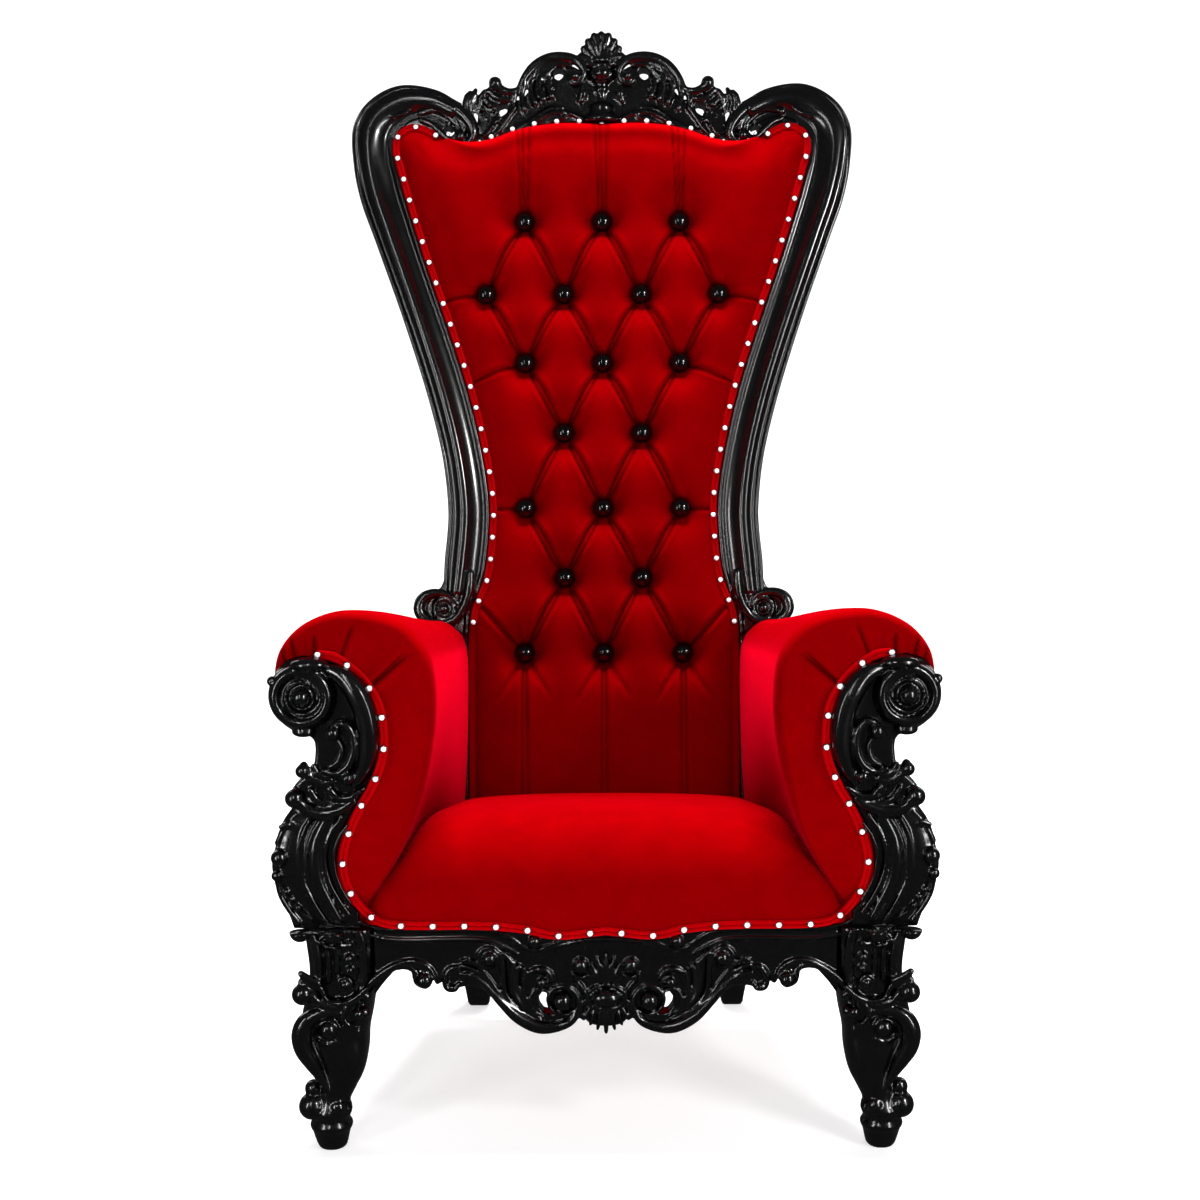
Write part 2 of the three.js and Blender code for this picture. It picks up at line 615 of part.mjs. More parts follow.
function superRing([x, y, z], [halfX, halfY], power, sides) {
  return Array.from({ length: sides }, (_, s) => {
    const angle = (s / sides) * TAU;
    const c = Math.cos(angle);
    const n = Math.sin(angle);
    const reach = (Math.abs(c) ** power + Math.abs(n) ** power) ** (-1 / power);
    return new THREE.Vector3(x + c * reach * halfX, y + n * reach * halfY, z);
  });
}

const LEG_INNER = -LEG_CENTRE_X + LEG_BLOCK_WIDTH / 2;
const LEG_BLOCK_BOTTOM = SEAT_RAIL_TOP * 0.66;
const besideBlock = box([LEG_INNER, -FAR, LEG_BLOCK_BOTTOM], [FAR, FAR, FAR]);
const legX = (across) => -LEG_CENTRE_X + across * LEG_BLOCK_WIDTH;
const legPlace = ([across, share]) => [legX(across), share * SEAT_RAIL_TOP];

function frontLeg() {
  const y0 = LEG_BLOCK_FRONT;
  const rings = FRONT_LEG_SECTIONS.map(([share, across, deep, halfX, halfY, power]) => superRing(
    [legX(across), y0 + (0.5 + deep) * LEG_BLOCK_DEPTH, share * SEAT_RAIL_TOP],
    [halfX * LEG_BLOCK_WIDTH, halfY * LEG_BLOCK_DEPTH],
    power,
    8,
  ));
  const core = loft(rings);
  const knob = (across, share, radius, lift, stretch = [1, 1, 1]) => {
    const [px, pz] = legPlace([across, share]);
    return ball([px, y0 - lift, pz], radius, stretch);
  };
  const panel = strand(smooth([
    [0.091, 0.955], [0.327, 0.965], [0.455, 0.9], [0.473, 0.78], [0.345, 0.705], [0.091, 0.69],
  ].map(legPlace), 6), [7, 7], y0 + 1);
  const roll = strand(smooth([
    [0.091, 0.63], [-0.255, 0.635], [-0.464, 0.56], [-0.4, 0.47], [-0.236, 0.39], [-0.055, 0.32],
  ].map(legPlace), 5), [12, 16], y0 + 16);
  const cuff = strand(smooth([
    [-0.491, 0.74], [-0.255, 0.69], [0.055, 0.675], [0.382, 0.7],
  ].map(legPlace), 3), [16, 10], y0 + 3);
  const ring = rosette(legPlace([0.336, 0.64]), y0 + 2, [[0, 14], [11, 12], [18, 3]], 20, 8);
  const foot = rosette(legPlace([0.036, 0.224]), y0 + 4, [[0, 17], [15, 14], [23, 2]], 22, 8);
  return joined([
    core, panel, roll, cuff, ring, foot,
    knob(0.136, 0.955, 15, -1),
    knob(-0.464, 0.95, 15, -4),
    knob(-0.473, 0.72, 17, -6),
    knob(-0.109, 0.575, 16, 0),
    knob(-0.291, 0.225, 21, -12),
  ]).subtract(aboveRails).subtract(besideBlock);
}

// The apron: a serpentine board between the front legs, with scrolls, leaves and a shell
const APRON_TOP_LINE = [
  [-0.92, 1.02], [-0.88, 1.022], [-0.62, 1.02], [-0.44, 1.012], [-0.31, 0.985], [-0.22, 0.962],
  [-0.12, 0.966], [0, 0.982],
];
const APRON_BOTTOM_LINE = [
  [-1, 0.69], [-0.95, 0.76], [-0.885, 0.822], [-0.8, 0.832], [-0.755, 0.79], [-0.73, 0.74],
  [-0.69, 0.76], [-0.66, 0.72], [-0.62, 0.73], [-0.57, 0.735], [-0.5, 0.7], [-0.4, 0.625],
  [-0.3, 0.563], [-0.2, 0.552], [-0.11, 0.595], [-0.07, 0.55], [0, 0.53],
];
const APRON_HALF = LEG_CENTRE_X - LEG_BLOCK_WIDTH / 2 - GAP;
const apronPlace = ([across, share]) => [across * APRON_HALF, share * SEAT_RAIL_TOP];
const apronPlaces = (pairs) => pairs.map(apronPlace);
const APRON_TOP = [apronPlace([-1, 1.018]), ...smooth(apronPlaces(APRON_TOP_LINE), 12)];
const APRON_BOTTOM = smooth(apronPlaces(APRON_BOTTOM_LINE), 20);
const APRON_OUTLINE = [
  ...APRON_TOP,
  ...flipped(APRON_TOP).slice(1),
  ...flipped(APRON_BOTTOM).reverse(),
  ...APRON_BOTTOM.slice(0, -1).reverse(),
];
const APRON_BACK = FRONT_FACE + APRON_THICKNESS;

function frontApron() {
  const front = FRONT_FACE + 2;
  const board = plate(APRON_OUTLINE, front - 1, APRON_BACK);
  const at = (across, share) => apronPlace([across, share]);
  const lip = strand(offsetLine(smooth(apronPlaces(APRON_TOP_LINE), 6), -9), [6, 6], front);
  const eye = at(-0.172, 0.69);
  const curl = spiral(eye, [19, 34], [60, -230], 7);
  const sweep = smooth([
    curl[curl.length - 1], ...apronPlaces([[-0.33, 0.66], [-0.39, 0.74], [-0.44, 0.84], [-0.475, 0.9]]),
  ], 4);
  const leaves = [-0.42, -0.52].map((across, i) => strand(smooth(apronPlaces([
    [across + 0.1, 0.63 + i * 0.05], [across + 0.02, 0.73 + i * 0.04], [across - 0.02, 0.87 - i * 0.02],
  ]), 3), [9, 11 - i * 2], front));
  const endScrolls = [[-0.655, 0.785, 17], [-0.745, 0.79, 16]].map(([across, share, radius]) => (
    rosette(at(across, share), front, [[0, 9], [radius * 0.4, 3], [radius * 0.7, 9], [radius, 1]], 10, 7)
  ));
  const arch = strand(smooth(apronPlaces([
    [-0.985, 0.71], [-0.94, 0.775], [-0.88, 0.842], [-0.8, 0.855], [-0.755, 0.83],
  ]), 4), [6, 6], front);
  const left = joined([
    lip,
    strand(curl, [8, 9], front),
    ball([eye[0], front, eye[1]], 13),
    strand(sweep, [10, 13], front),
    ...leaves,
    ...endScrolls,
    arch,
    ball([at(-0.26, 0.8)[0], front, at(-0.26, 0.8)[1]], 13),
    ball([at(-0.0945, 0.846)[0], front, at(-0.0945, 0.846)[1]], 12),
    ball([at(-0.26, 0.962)[0], front, at(-0.26, 0.962)[1]], 10),
  ]);
  const cabochon = ball([0, front, at(0, 0.695)[1]], 30, [1.15, 0.62, 0.72], 8);
  const fan = shell(at(0, 0.75), 54, [35, 145], 3, 11, front);
  const skirt = shell(at(0, 0.68), 52, [-140, -40], 3, 15, front);
  const hole = plate(spiral(at(-0.243, 0.69), [8, 8], [0, 300], 5), -FAR, FAR);
  const underTop = [...APRON_TOP, ...flipped(APRON_TOP).slice(1), [APRON_HALF, 0], [-APRON_HALF, 0]];
  return joined([board, left, mirrored(left), cabochon, fan, skirt])
    .subtract(hole)
    .subtract(mirrored(hole))
    .intersect(plate(underTop, -FAR, FAR));
}

// The plain rails behind the apron
const BLOCK_REAR = LEG_BLOCK_FRONT + LEG_BLOCK_DEPTH;
const REAR_LEG_FRONT = REAR_LEG_TOP_Y - REAR_LEG_HALF;

function sideRail() {
  const front = BLOCK_REAR + GAP;
  const rear = REAR_LEG_FRONT - GAP;
  const half = SIDE_RAIL_THICKNESS / 2;
  const corners = [
    [-LEG_CENTRE_X - half, front], [-LEG_CENTRE_X + half, front],
    [-REAR_LEG_TOP_X + half, rear], [-REAR_LEG_TOP_X - half, rear],
  ];
  const heights = [SEAT_RAIL_TOP - SIDE_RAIL_DEPTH, SEAT_RAIL_TOP];
  return loft(heights.map((z) => corners.map(([x, y]) => new THREE.Vector3(x, y, z))));
}

function rearRail() {
  const half = REAR_LEG_TOP_X - REAR_LEG_HALF - GAP;
  return box(
    [-half, REAR_LEG_TOP_Y - REAR_RAIL_THICKNESS / 2, SEAT_RAIL_TOP - REAR_RAIL_HEIGHT],
    [half, REAR_LEG_TOP_Y + REAR_RAIL_THICKNESS / 2, SEAT_RAIL_TOP],
  );
}

function rearLeg() {
  const rings = [0, 0.11, 0.3, 0.5, 0.7, 0.77, 1].map((share) => {
    const bend = Math.min(1, share / 0.77);
    const x = mix(-REAR_FOOT_X, -REAR_LEG_TOP_X, bend ** 1.8);
    const y = mix(REAR_FOOT_Y, REAR_LEG_TOP_Y, 1 - (1 - bend) ** 1.4);
    const half = mix(REAR_FOOT_HALF, REAR_LEG_HALF, Math.min(1, share / 0.25));
    return superRing([x, y, share * SEAT_RAIL_TOP], [half, half], 8, 8);
  });
  return loft(rings);
}

// The seat: a domed cushion between the arms, its front skirt ending on the apron's serpentine top
// Rows of the seat: how far back, as a share of its length, and how high, as a share of the crown's height.
const SEAT_ROWS = [
  [0, 0.2], [0.006, 0.4], [0.018, 0.6], [0.05, 0.78], [0.1, 0.92], [0.165, 0.985], [0.24, 1], [0.36, 0.955], [1, 0.5],
];
const SEAT_SIDE_DROP = 0.18;
const SEAT_SIDE_POWER = 2.6;
const SEAT_SKIRT_SHARE = 0.94;
const SEAT_FRONT_INSET = 36;
const SEAT_REAR_INSET = 100;

function seatPad() {
  const skirt = SEAT_RAIL_TOP * SEAT_SKIRT_SHARE;
  const rear = BACK_PIVOT_Y;
  const sides = 8;
  const rings = SEAT_ROWS.map(([share, rise]) => {
    const y = mix(SEAT_FRONT, rear, share);
    const half = mix(LEG_CENTRE_X - SEAT_FRONT_INSET, LEG_CENTRE_X - SEAT_REAR_INSET, share);
    const bottom = y < APRON_BACK ? skirt : SEAT_RAIL_TOP + GAP;
    const ring = [];
    for (let s = 0; s <= sides; s += 1) {
      const across = mix(-1, 1, s / sides);
      const dome = 1 - SEAT_SIDE_DROP * Math.abs(across) ** SEAT_SIDE_POWER;
      const top = SEAT_RAIL_TOP + (SEAT_CROWN - SEAT_RAIL_TOP) * rise * dome;
      ring.push(new THREE.Vector3(across * half, y, top));
    }
    ring.push(new THREE.Vector3(half, y, bottom), new THREE.Vector3(-half, y, bottom));
    return ring;
  });
  const apronClear = plate(grown(APRON_OUTLINE, GAP), -FAR, APRON_BACK + GAP);
  const legClear = box(
    [-FAR, -FAR, -FAR],
    [-LEG_CENTRE_X + LEG_BLOCK_WIDTH / 2 + GAP, FAR, SEAT_RAIL_TOP + GAP],
  );
  const skirtOnly = box([-FAR, APRON_BACK, -FAR], [FAR, FAR, SEAT_RAIL_TOP + GAP]);
  const armClear = armPad(GAP).add(postClear);
  return loft(rings)
    .subtract(apronClear)
    .subtract(legClear)
    .subtract(mirrored(legClear))
    .subtract(skirtOnly)
    .subtract(armClear)
    .subtract(mirrored(armClear))
    .subtract(backSpace);
}

// The pieces, each a named mesh in its place

function piece(name, geometry, finish) {
  const mesh = new THREE.Mesh(geometry, new THREE.MeshStandardMaterial(finish));
  mesh.name = name;
  return mesh;
}

function pair(group, name, left, finish) {
  group.add(piece(`${name}_left`, geometryFrom(left), finish));
  group.add(piece(`${name}_right`, geometryFrom(mirrored(left)), finish));
}

function backGroup() {
  const group = new THREE.Group();
  pair(group, 'back_stile', backStile(), LACQUER);
  group.add(piece('crest_rail', geometryFrom(crestRail()), LACQUER));
  group.add(piece('back_pad', geometryFrom(backPad()), VELVET));
  group.add(piece('back_panel', geometryFrom(backPanel()), VELVET));
  const button = buttonGeometry();
  BUTTONS.forEach(([x, z], i) => {
    const mesh = piece(`back_button_${String(i + 1).padStart(2, '0')}`, button, BUTTON_FINISH);
    mesh.position.set(x, BUTTON_CENTRE, z);
    group.add(mesh);
  });
  group.position.set(0, BACK_PIVOT_Y, BACK_PIVOT_Z);
  group.rotation.x = -degrees(BACK_LEAN_DEG);
  return group;
}

function seatGroup() {
  const group = new THREE.Group();
  pair(group, 'front_leg', frontLeg(), LACQUER);
  pair(group, 'rear_leg', rearLeg(), LACQUER);
  pair(group, 'side_rail', sideRail(), LACQUER);
  group.add(piece('front_apron', geometryFrom(frontApron()), LACQUER));
  group.add(piece('rear_rail', geometryFrom(rearRail()), LACQUER));
  group.add(piece('seat_pad', geometryFrom(seatPad()), VELVET));
  return group;
}

function armGroup() {
  const group = new THREE.Group();
  pair(group, 'arm_pad', armPad().subtract(postClear).subtract(backSpace), VELVET);
  pair(group, 'arm_post', armPost(), LACQUER);
  return group;
}

const throne = new THREE.Group();
const body = new THREE.Group();
body.add(seatGroup(), armGroup(), backGroup());
throne.add(body);

// The origin is on the floor, in the middle of the throne's width and depth.
throne.updateMatrixWorld(true);
const reach = new THREE.Box3().setFromObject(throne, true);
body.position.y = -(reach.min.y + reach.max.y) / 2;
throne.updateMatrixWorld(true);

export default throne;
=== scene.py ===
"""The looks of a high-backed throne chair on its CAD frame: carved black lacquer, red velvet, studs.

Lengths inside the makers are millimetres, in the frame of the CAD part, and become metres in solid_object.
The sitter faces -Y, and left is the -X side.
"""

import math

import bmesh
import bpy
import numpy as np
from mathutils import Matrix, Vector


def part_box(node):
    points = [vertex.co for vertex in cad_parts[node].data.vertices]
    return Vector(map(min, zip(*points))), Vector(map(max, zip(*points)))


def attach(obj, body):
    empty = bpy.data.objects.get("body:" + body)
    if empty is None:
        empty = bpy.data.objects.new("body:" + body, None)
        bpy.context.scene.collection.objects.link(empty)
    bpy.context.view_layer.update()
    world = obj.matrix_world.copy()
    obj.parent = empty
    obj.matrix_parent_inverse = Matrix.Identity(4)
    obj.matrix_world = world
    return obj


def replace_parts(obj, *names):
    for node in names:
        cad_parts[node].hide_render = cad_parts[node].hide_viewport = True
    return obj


bl_info = {
    "name": "Throne chair",
    "version": (1, 0, 0),
    "blender": (4, 5, 0),
    "location": "3D View > Sidebar > Throne",
    "description": "Builds the carved frame, the buttoned velvet and the studs of a throne chair",
    "category": "Object",
}

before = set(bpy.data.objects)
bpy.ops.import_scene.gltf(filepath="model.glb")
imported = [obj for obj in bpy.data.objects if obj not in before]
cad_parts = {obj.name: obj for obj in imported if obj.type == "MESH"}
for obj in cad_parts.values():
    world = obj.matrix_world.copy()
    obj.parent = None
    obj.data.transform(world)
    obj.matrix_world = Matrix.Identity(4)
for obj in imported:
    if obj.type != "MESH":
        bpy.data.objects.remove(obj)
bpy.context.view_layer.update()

# Places of the frame that the pieces share
MM = 0.001
REAR_LEG_REACH = 259
SHIFT_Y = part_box("rear_leg_left")[1].y / MM - REAR_LEG_REACH
LEAN = math.radians(8.5)
PIVOT_Y = 170
PIVOT_Z = 400
BACK_WIDTH = 918
BACK_HEIGHT = 1416
FRAME_DEPTH = 52
RAIL_TOP = 345
FRONT_FACE = -385
LEG_X = 408
LEG_BLOCK = (110, 100)
LEG_FRONT = -395
GAP = 0.4


# Lines


def resampled(line, count):
    """The line in count equal steps of its first two columns."""
    steps = np.linalg.norm(np.diff(line[:, :2], axis=0), axis=1)
    along = np.concatenate([[0], np.cumsum(steps)])
    places = np.linspace(0, along[-1], count + 1)
    return np.stack([np.interp(places, along, column) for column in line.T], axis=1)


def smooth_line(places, count):
    """A centripetal spline through the places. Columns after the first two ride along."""
    p = np.asarray(places, float)
    p = np.vstack([2 * p[0] - p[1], p, 2 * p[-1] - p[-2]])
    step = np.maximum(np.linalg.norm(np.diff(p[:, :2], axis=0), axis=1), 1e-6) ** 0.5
    t = np.linspace(0, 1, 17)[:-1, None]
    fine = []
    for i in range(1, len(p) - 2):
        before, here, after = step[i - 1], step[i], step[i + 1]
        go = (p[i] - p[i - 1]) / before - (p[i + 1] - p[i - 1]) / (before + here) + (p[i + 1] - p[i]) / here
        come = (p[i + 1] - p[i]) / here - (p[i + 2] - p[i]) / (here + after) + (p[i + 2] - p[i + 1]) / after
        go, come = go * here, come * here
        cubic = 2 * p[i] - 2 * p[i + 1] + go + come
        square = -3 * p[i] + 3 * p[i + 1] - 2 * go - come
        fine.append(cubic * t**3 + square * t**2 + go * t + p[i])
    fine.append(p[-2:-1])
    return resampled(np.vstack(fine), count)


def normals_of(line):
    """The unit vector square to the line, on its left, at each point."""
    ahead = np.vstack([line[1:, :2], line[-1:, :2]])
    behind = np.vstack([line[:1, :2], line[:-1, :2]])
    run = ahead - behind
    run /= np.maximum(np.linalg.norm(run, axis=1, keepdims=True), 1e-9)
    return np.stack([-run[:, 1], run[:, 0]], axis=1)


def offset_line(line, distance):
    """The line moved to its left."""
    moved = np.array(line, float)
    moved[:, :2] += normals_of(moved) * distance
    return moved


def flipped(line):
    """The line on the other side of the middle, running the other way."""
    other = np.array(line, float)[::-1].copy()
    other[:, 0] *= -1
    return other


def both_sides(half):
    """A left half that ends on the middle, with its mirror image."""
    half = np.asarray(half, float)
    return np.vstack([half, flipped(half)[1:]])


def spiral(centre, radii, angles, count):
    """Places along a spiral, from one radius and angle in degrees to the other."""
    t = np.linspace(0, 1, count + 1)
    angle = np.radians(angles[0] + (angles[1] - angles[0]) * t)
    radius = radii[0] + (radii[1] - radii[0]) * t
    return np.stack([centre[0] + radius * np.cos(angle), centre[1] + radius * np.sin(angle)], axis=1)


def grown(outline, distance):
    """A closed outline moved outwards."""
    ahead = np.roll(outline, -1, axis=0)
    behind = np.roll(outline, 1, axis=0)
    area = np.sum(outline[:, 0] * ahead[:, 1] - ahead[:, 0] * outline[:, 1])
    run = ahead - behind
    run /= np.maximum(np.linalg.norm(run, axis=1, keepdims=True), 1e-9)
    side = 1 if area > 0 else -1
    return outline + side * distance * np.stack([run[:, 1], -run[:, 0]], axis=1)


def distance_to(points, line):
    """How far each point is from the line."""
    start, end = line[:-1, :2], line[1:, :2]
    run = end - start
    length = np.maximum(np.sum(run * run, axis=1), 1e-9)
    best = np.full(len(points), 1e9)
    for s, r, n in zip(start, run, length):
        share = np.clip(((points - s) @ r) / n, 0, 1)
        best = np.minimum(best, np.linalg.norm(points - s - share[:, None] * r, axis=1))
    return best


def eased(t):
    """From 0 to 1 with a soft start and end."""
    t = np.clip(t, 0, 1)
    return t * t * (3 - 2 * t)


def on_back(pairs):
    """Places on the back, from shares of its width and height."""
    return np.array([(x * BACK_WIDTH, w * BACK_HEIGHT) for x, w in pairs])


# Meshes


def from_back(points):
    """From the leaning back's own x, depth and height to the frame."""
    x, y, w = points.T
    c, s = math.cos(LEAN), math.sin(LEAN)
    return np.stack([x, PIVOT_Y + y * c + w * s, PIVOT_Z - y * s + w * c], axis=1)


def placed(points, leaning):
    """Millimetres in the CAD part's axes, or in the leaning back's own, as metres in the frame."""
    points = np.asarray(points, float)
    if leaning:
        points = from_back(points)
    return (points + (0, SHIFT_Y, 0)) * MM


def in_scene(name, mesh):
    """A new object of the scene with this mesh."""
    mesh.name = name
    thing = bpy.data.objects.new(name, mesh)
    bpy.context.scene.collection.objects.link(thing)
    return thing


def meshed(name, points, edges=(), faces=()):
    """A new object of the scene from points, edges and faces."""
    mesh = bpy.data.meshes.new(name)
    mesh.from_pydata(np.asarray(points).tolist(), edges, faces)
    return in_scene(name, mesh)


def raw_object(name, points, faces):
    """A mesh object that keeps its millimetres, for cutting."""
    thing = meshed(name, points, faces=faces)
    outward(thing.data)
    return thing


def solid_object(name, points, faces, leaning=False):
    """A mesh object from millimetres, its faces pointing outwards."""
    thing = raw_object(name, placed(points, leaning), faces)
    thing.data.shade_smooth()
    return thing


def outward(mesh):
    """Merges doubles and points the faces outwards."""
    work = bmesh.new()
    work.from_mesh(mesh)
    bmesh.ops.remove_doubles(work, verts=work.verts, dist=1e-6)
    bmesh.ops.recalc_face_normals(work, faces=work.faces)
    work.to_mesh(mesh)
    work.free()
    mesh.update()


def set_mesh(thing):
    """Turns the object's modifiers into its mesh."""
    evaluated = thing.evaluated_get(bpy.context.evaluated_depsgraph_get())
    mesh = bpy.data.meshes.new_from_object(evaluated)
    thing.modifiers.clear()
    old = thing.data
    thing.data = mesh
    mesh.name = thing.name
    bpy.data.meshes.remove(old)
    return thing


def crisp(thing, degrees=40):
    """Smooth shading with hard edges where the faces turn sharply."""
    thing.data.shade_smooth()
    thing.data.set_sharp_from_angle(angle=math.radians(degrees))
    return thing


def mirror_piece(thing, name):
    """The right-hand piece of a left-hand one."""
    mesh = thing.data.copy()
    other = in_scene(name, mesh)
    work = bmesh.new()
    work.from_mesh(mesh)
    for vertex in work.verts:
        vertex.co.x = -vertex.co.x
    bmesh.ops.reverse_faces(work, faces=work.faces)
    bmesh.ops.recalc_face_normals(work, faces=work.faces)
    work.to_mesh(mesh)
    work.free()
    return other


def cut(thing, cutters):
    """Takes the cutters away from the object."""
    for cutter in cutters:
        boolean = thing.modifiers.new("cut", "BOOLEAN")
        boolean.operation = "DIFFERENCE"
        boolean.object = cutter
        boolean.solver = "EXACT"
    set_mesh(thing)
    for cutter in cutters:
        old = cutter.data
        bpy.data.objects.remove(cutter)
        bpy.data.meshes.remove(old)
    return thing


def skinned(rings, caps=True):
    """Points and faces of rings skinned one to the next, as an array of ring, corner and x y z."""
    count, sides = rings.shape[:2]
    ring = np.arange(count - 1)[:, None] * sides
    here = np.arange(sides)[None, :]
    after = (here + 1) % sides
    quads = np.stack([ring + here, ring + after, ring + sides + after, ring + sides + here], axis=-1)
    faces = quads.reshape(-1, 4).tolist()
    if caps:
        faces.append(list(range(sides))[::-1])
        faces.append(list(range((count - 1) * sides, count * sides)))
    return rings.reshape(-1, 3), faces


def plate_parts(outline, front, back, round_over=0.0):
    """Points and faces of an outline in x and z, as thick as from front to back."""
    outline = np.asarray(outline, float)
    rows = [(front, -round_over), (front + round_over, 0), (back, 0)] if round_over else [(front, 0),
                                                                                          (back, 0)]
    rings = []
    for depth, inset in rows:
        ring = grown(outline, inset) if inset else outline
        rings.append(np.stack([ring[:, 0], np.full(len(ring), depth), ring[:, 1]], axis=1))
    return skinned(np.array(rings))


# Along a strand, from one ring to the next
STRAND_STEP = 3.0
# The smoothing of a melted carving, before and after it is thinned
SOFTEN_ROUNDS = 7
SETTLE_ROUNDS = 2


class Carving:
    """Closed bodies in millimetres, kept together until they are melted into one skin."""

    def __init__(self, front):
        self.front = front
        self.points = []
        self.faces = []
        self.count = 0

    def add(self, points, faces):
        self.points.append(points)
        self.faces.extend([[corner + self.count for corner in face] for face in faces])
        self.count += len(points)

    def plate(self, outline, front, back, holes=(), round_over=0.0):
        points, faces = plate_parts(outline, front, back, round_over)
        if holes:
            board = raw_object("board", points, faces)
            cutters = [raw_object("hole", *plate_parts(hole, front - 50, back + 50)) for hole in holes]
            cut(board, cutters)
            points = np.array([vertex.co[:] for vertex in board.data.vertices])
            faces = [list(face.vertices) for face in board.data.polygons]
            mesh = board.data
            bpy.data.objects.remove(board)
            bpy.data.meshes.remove(mesh)
        self.add(points, faces)

    def strand(self, places, height=0.0, rise=1.0, sides=12):
        """A round strand through places of x, z and radius, its centre a third of the radius proud."""
        places = np.asarray(places, float)
        length = np.sum(np.linalg.norm(np.diff(places[:, :2], axis=0), axis=1))
        line = smooth_line(places, max(4, int(length / STRAND_STEP)))
        square = normals_of(line)
        run = np.stack([square[:, 1], -square[:, 0]], axis=1)
        turns = [math.radians(turn) for turn in (15, 40, 65)]

        def rounded(end, way, turns):
            return [
                np.append(end[:2] + way * end[2] * math.cos(turn), end[2] * math.sin(turn)) for turn in turns
            ]

        head = rounded(line[0], -run[0], turns)
        tail = rounded(line[-1], run[-1], turns[::-1])
        centres = np.array([*head, *line[:, :3], *tail])
        square = np.vstack([square[:1]] * 3 + [square] + [square[-1:]] * 3)
        base = np.concatenate([[line[0, 2]] * 3, line[:, 2], [line[-1, 2]] * 3])
        angle = np.arange(sides) / sides * math.tau
        across = np.sin(angle)[None, :] * centres[:, 2:3]
        depth = self.front - height - 0.33 * base[:, None] - np.cos(angle)[None, :] * centres[:, 2:3] * rise
        x = centres[:, 0:1] + square[:, 0:1] * across
        z = centres[:, 1:2] + square[:, 1:2] * across
        self.add(*skinned(np.stack([x, depth, z], axis=-1)))

    def strands(self, rows, height, step=0):
        """Strands side by side, every second one further forward by the step."""
        for i, places in enumerate(rows):
            self.strand(places, height=height + step * (i % 2))

    def balls(self, rows, height):
        for x, z, radius in rows:
            self.ball(x, z, radius, height=height)

    def ball(self, x, z, radius, height=0.0, stretch=(1, 1, 1)):
        turn = np.radians(np.linspace(8, 172, 11))
        angle = np.arange(18) / 18 * math.tau
        ring_x = np.sin(turn)[:, None] * np.cos(angle)[None, :] * radius * stretch[0]
        ring_z = np.sin(turn)[:, None] * np.sin(angle)[None, :] * radius * stretch[2]
        ring_y = -np.cos(turn)[:, None] * np.ones(18)[None, :] * radius * stretch[1]
        rings = np.stack([x + ring_x, self.front - height - 0.25 * radius + ring_y, z + ring_z], axis=-1)
        self.add(*skinned(rings))

    def ring(self, x, z, radius, half, height=0.0, squash=1.0):
        angle = np.linspace(0, math.tau, 33)[:-1]
        around = np.arange(10) / 10 * math.tau
        reach = radius + np.sin(around)[None, :] * half
        ring_x = x + np.cos(angle)[:, None] * reach
        ring_z = z + np.sin(angle)[:, None] * reach * squash
        ring_y = self.front - height - 0.33 * half - np.cos(around)[None, :] * half * np.ones(32)[:, None]
        rings = np.stack([ring_x, ring_y, ring_z], axis=-1)
        points, faces = skinned(np.concatenate([rings, rings[:1]]), caps=False)
        self.add(points, faces)

    def rosette(self, x, z, profile, depth=20.0, sides=48, squash=1.0):
        """A turned form facing forwards, from pairs of radius and height in front of the board."""
        line = smooth_line(profile, 28)
        line = np.vstack([line, [line[-1, 0], -depth]])
        radius = np.maximum(line[:, 0], 0.05)
        angle = np.arange(sides) / sides * math.tau
        ring_x = x + radius[:, None] * np.cos(angle)[None, :]
        ring_z = z + radius[:, None] * np.sin(angle)[None, :] * squash
        ring_y = self.front - line[:, 1:2] * np.ones(sides)[None, :]
        self.add(*skinned(np.stack([ring_x, ring_y, ring_z], axis=-1)))

    def turned(self, profile, centre, sides=32, stretch=(1.0, 1.0)):
        """A turned form that stands up, from pairs of radius and height, about centre x and y."""
        line = smooth_line(profile, 40)
        radius = np.maximum(line[:, 0], 0.05)
        angle = np.arange(sides) / sides * math.tau
        ring_x = centre[0] + radius[:, None] * np.cos(angle)[None, :] * stretch[0]
        ring_y = centre[1] + radius[:, None] * np.sin(angle)[None, :] * stretch[1]
        ring_z = line[:, 1:2] * np.ones(sides)[None, :]
        self.add(*skinned(np.stack([ring_x, ring_y, ring_z], axis=-1)))

    def mirror(self):
        """Adds the other half."""
        self.add(np.vstack(self.points) * (-1, 1, 1), [face[::-1] for face in self.faces])

    def melted(self, name, voxel, keep, leaning=False):
        """One smooth skin over all the bodies, made of voxels of this size and then thinned."""
        thing = solid_object(name, np.vstack(self.points), self.faces, leaning)
        melt = thing.modifiers.new("melt", "REMESH")
        melt.mode = "VOXEL"
        melt.voxel_size = voxel * MM
        soften = thing.modifiers.new("soften", "SMOOTH")
        soften.factor = 0.5
        soften.iterations = SOFTEN_ROUNDS
        thin = thing.modifiers.new("thin", "DECIMATE")
        thin.ratio = keep
        settle = thing.modifiers.new("settle", "SMOOTH")
        settle.factor = 0.5
        settle.iterations = SETTLE_ROUNDS
        set_mesh(thing)
        outward(thing.data)
        thing.data.shade_smooth()
        return thing


def join(name, things):
    """One object of several."""
    work = bmesh.new()
    for thing in things:
        work.from_mesh(thing.data)
    mesh = bpy.data.meshes.new(name)
    work.to_mesh(mesh)
    work.free()
    joined = in_scene(name, mesh)
    for thing in things:
        old = thing.data
        bpy.data.objects.remove(thing)
        bpy.data.meshes.remove(old)
    mesh.shade_smooth()
    return joined


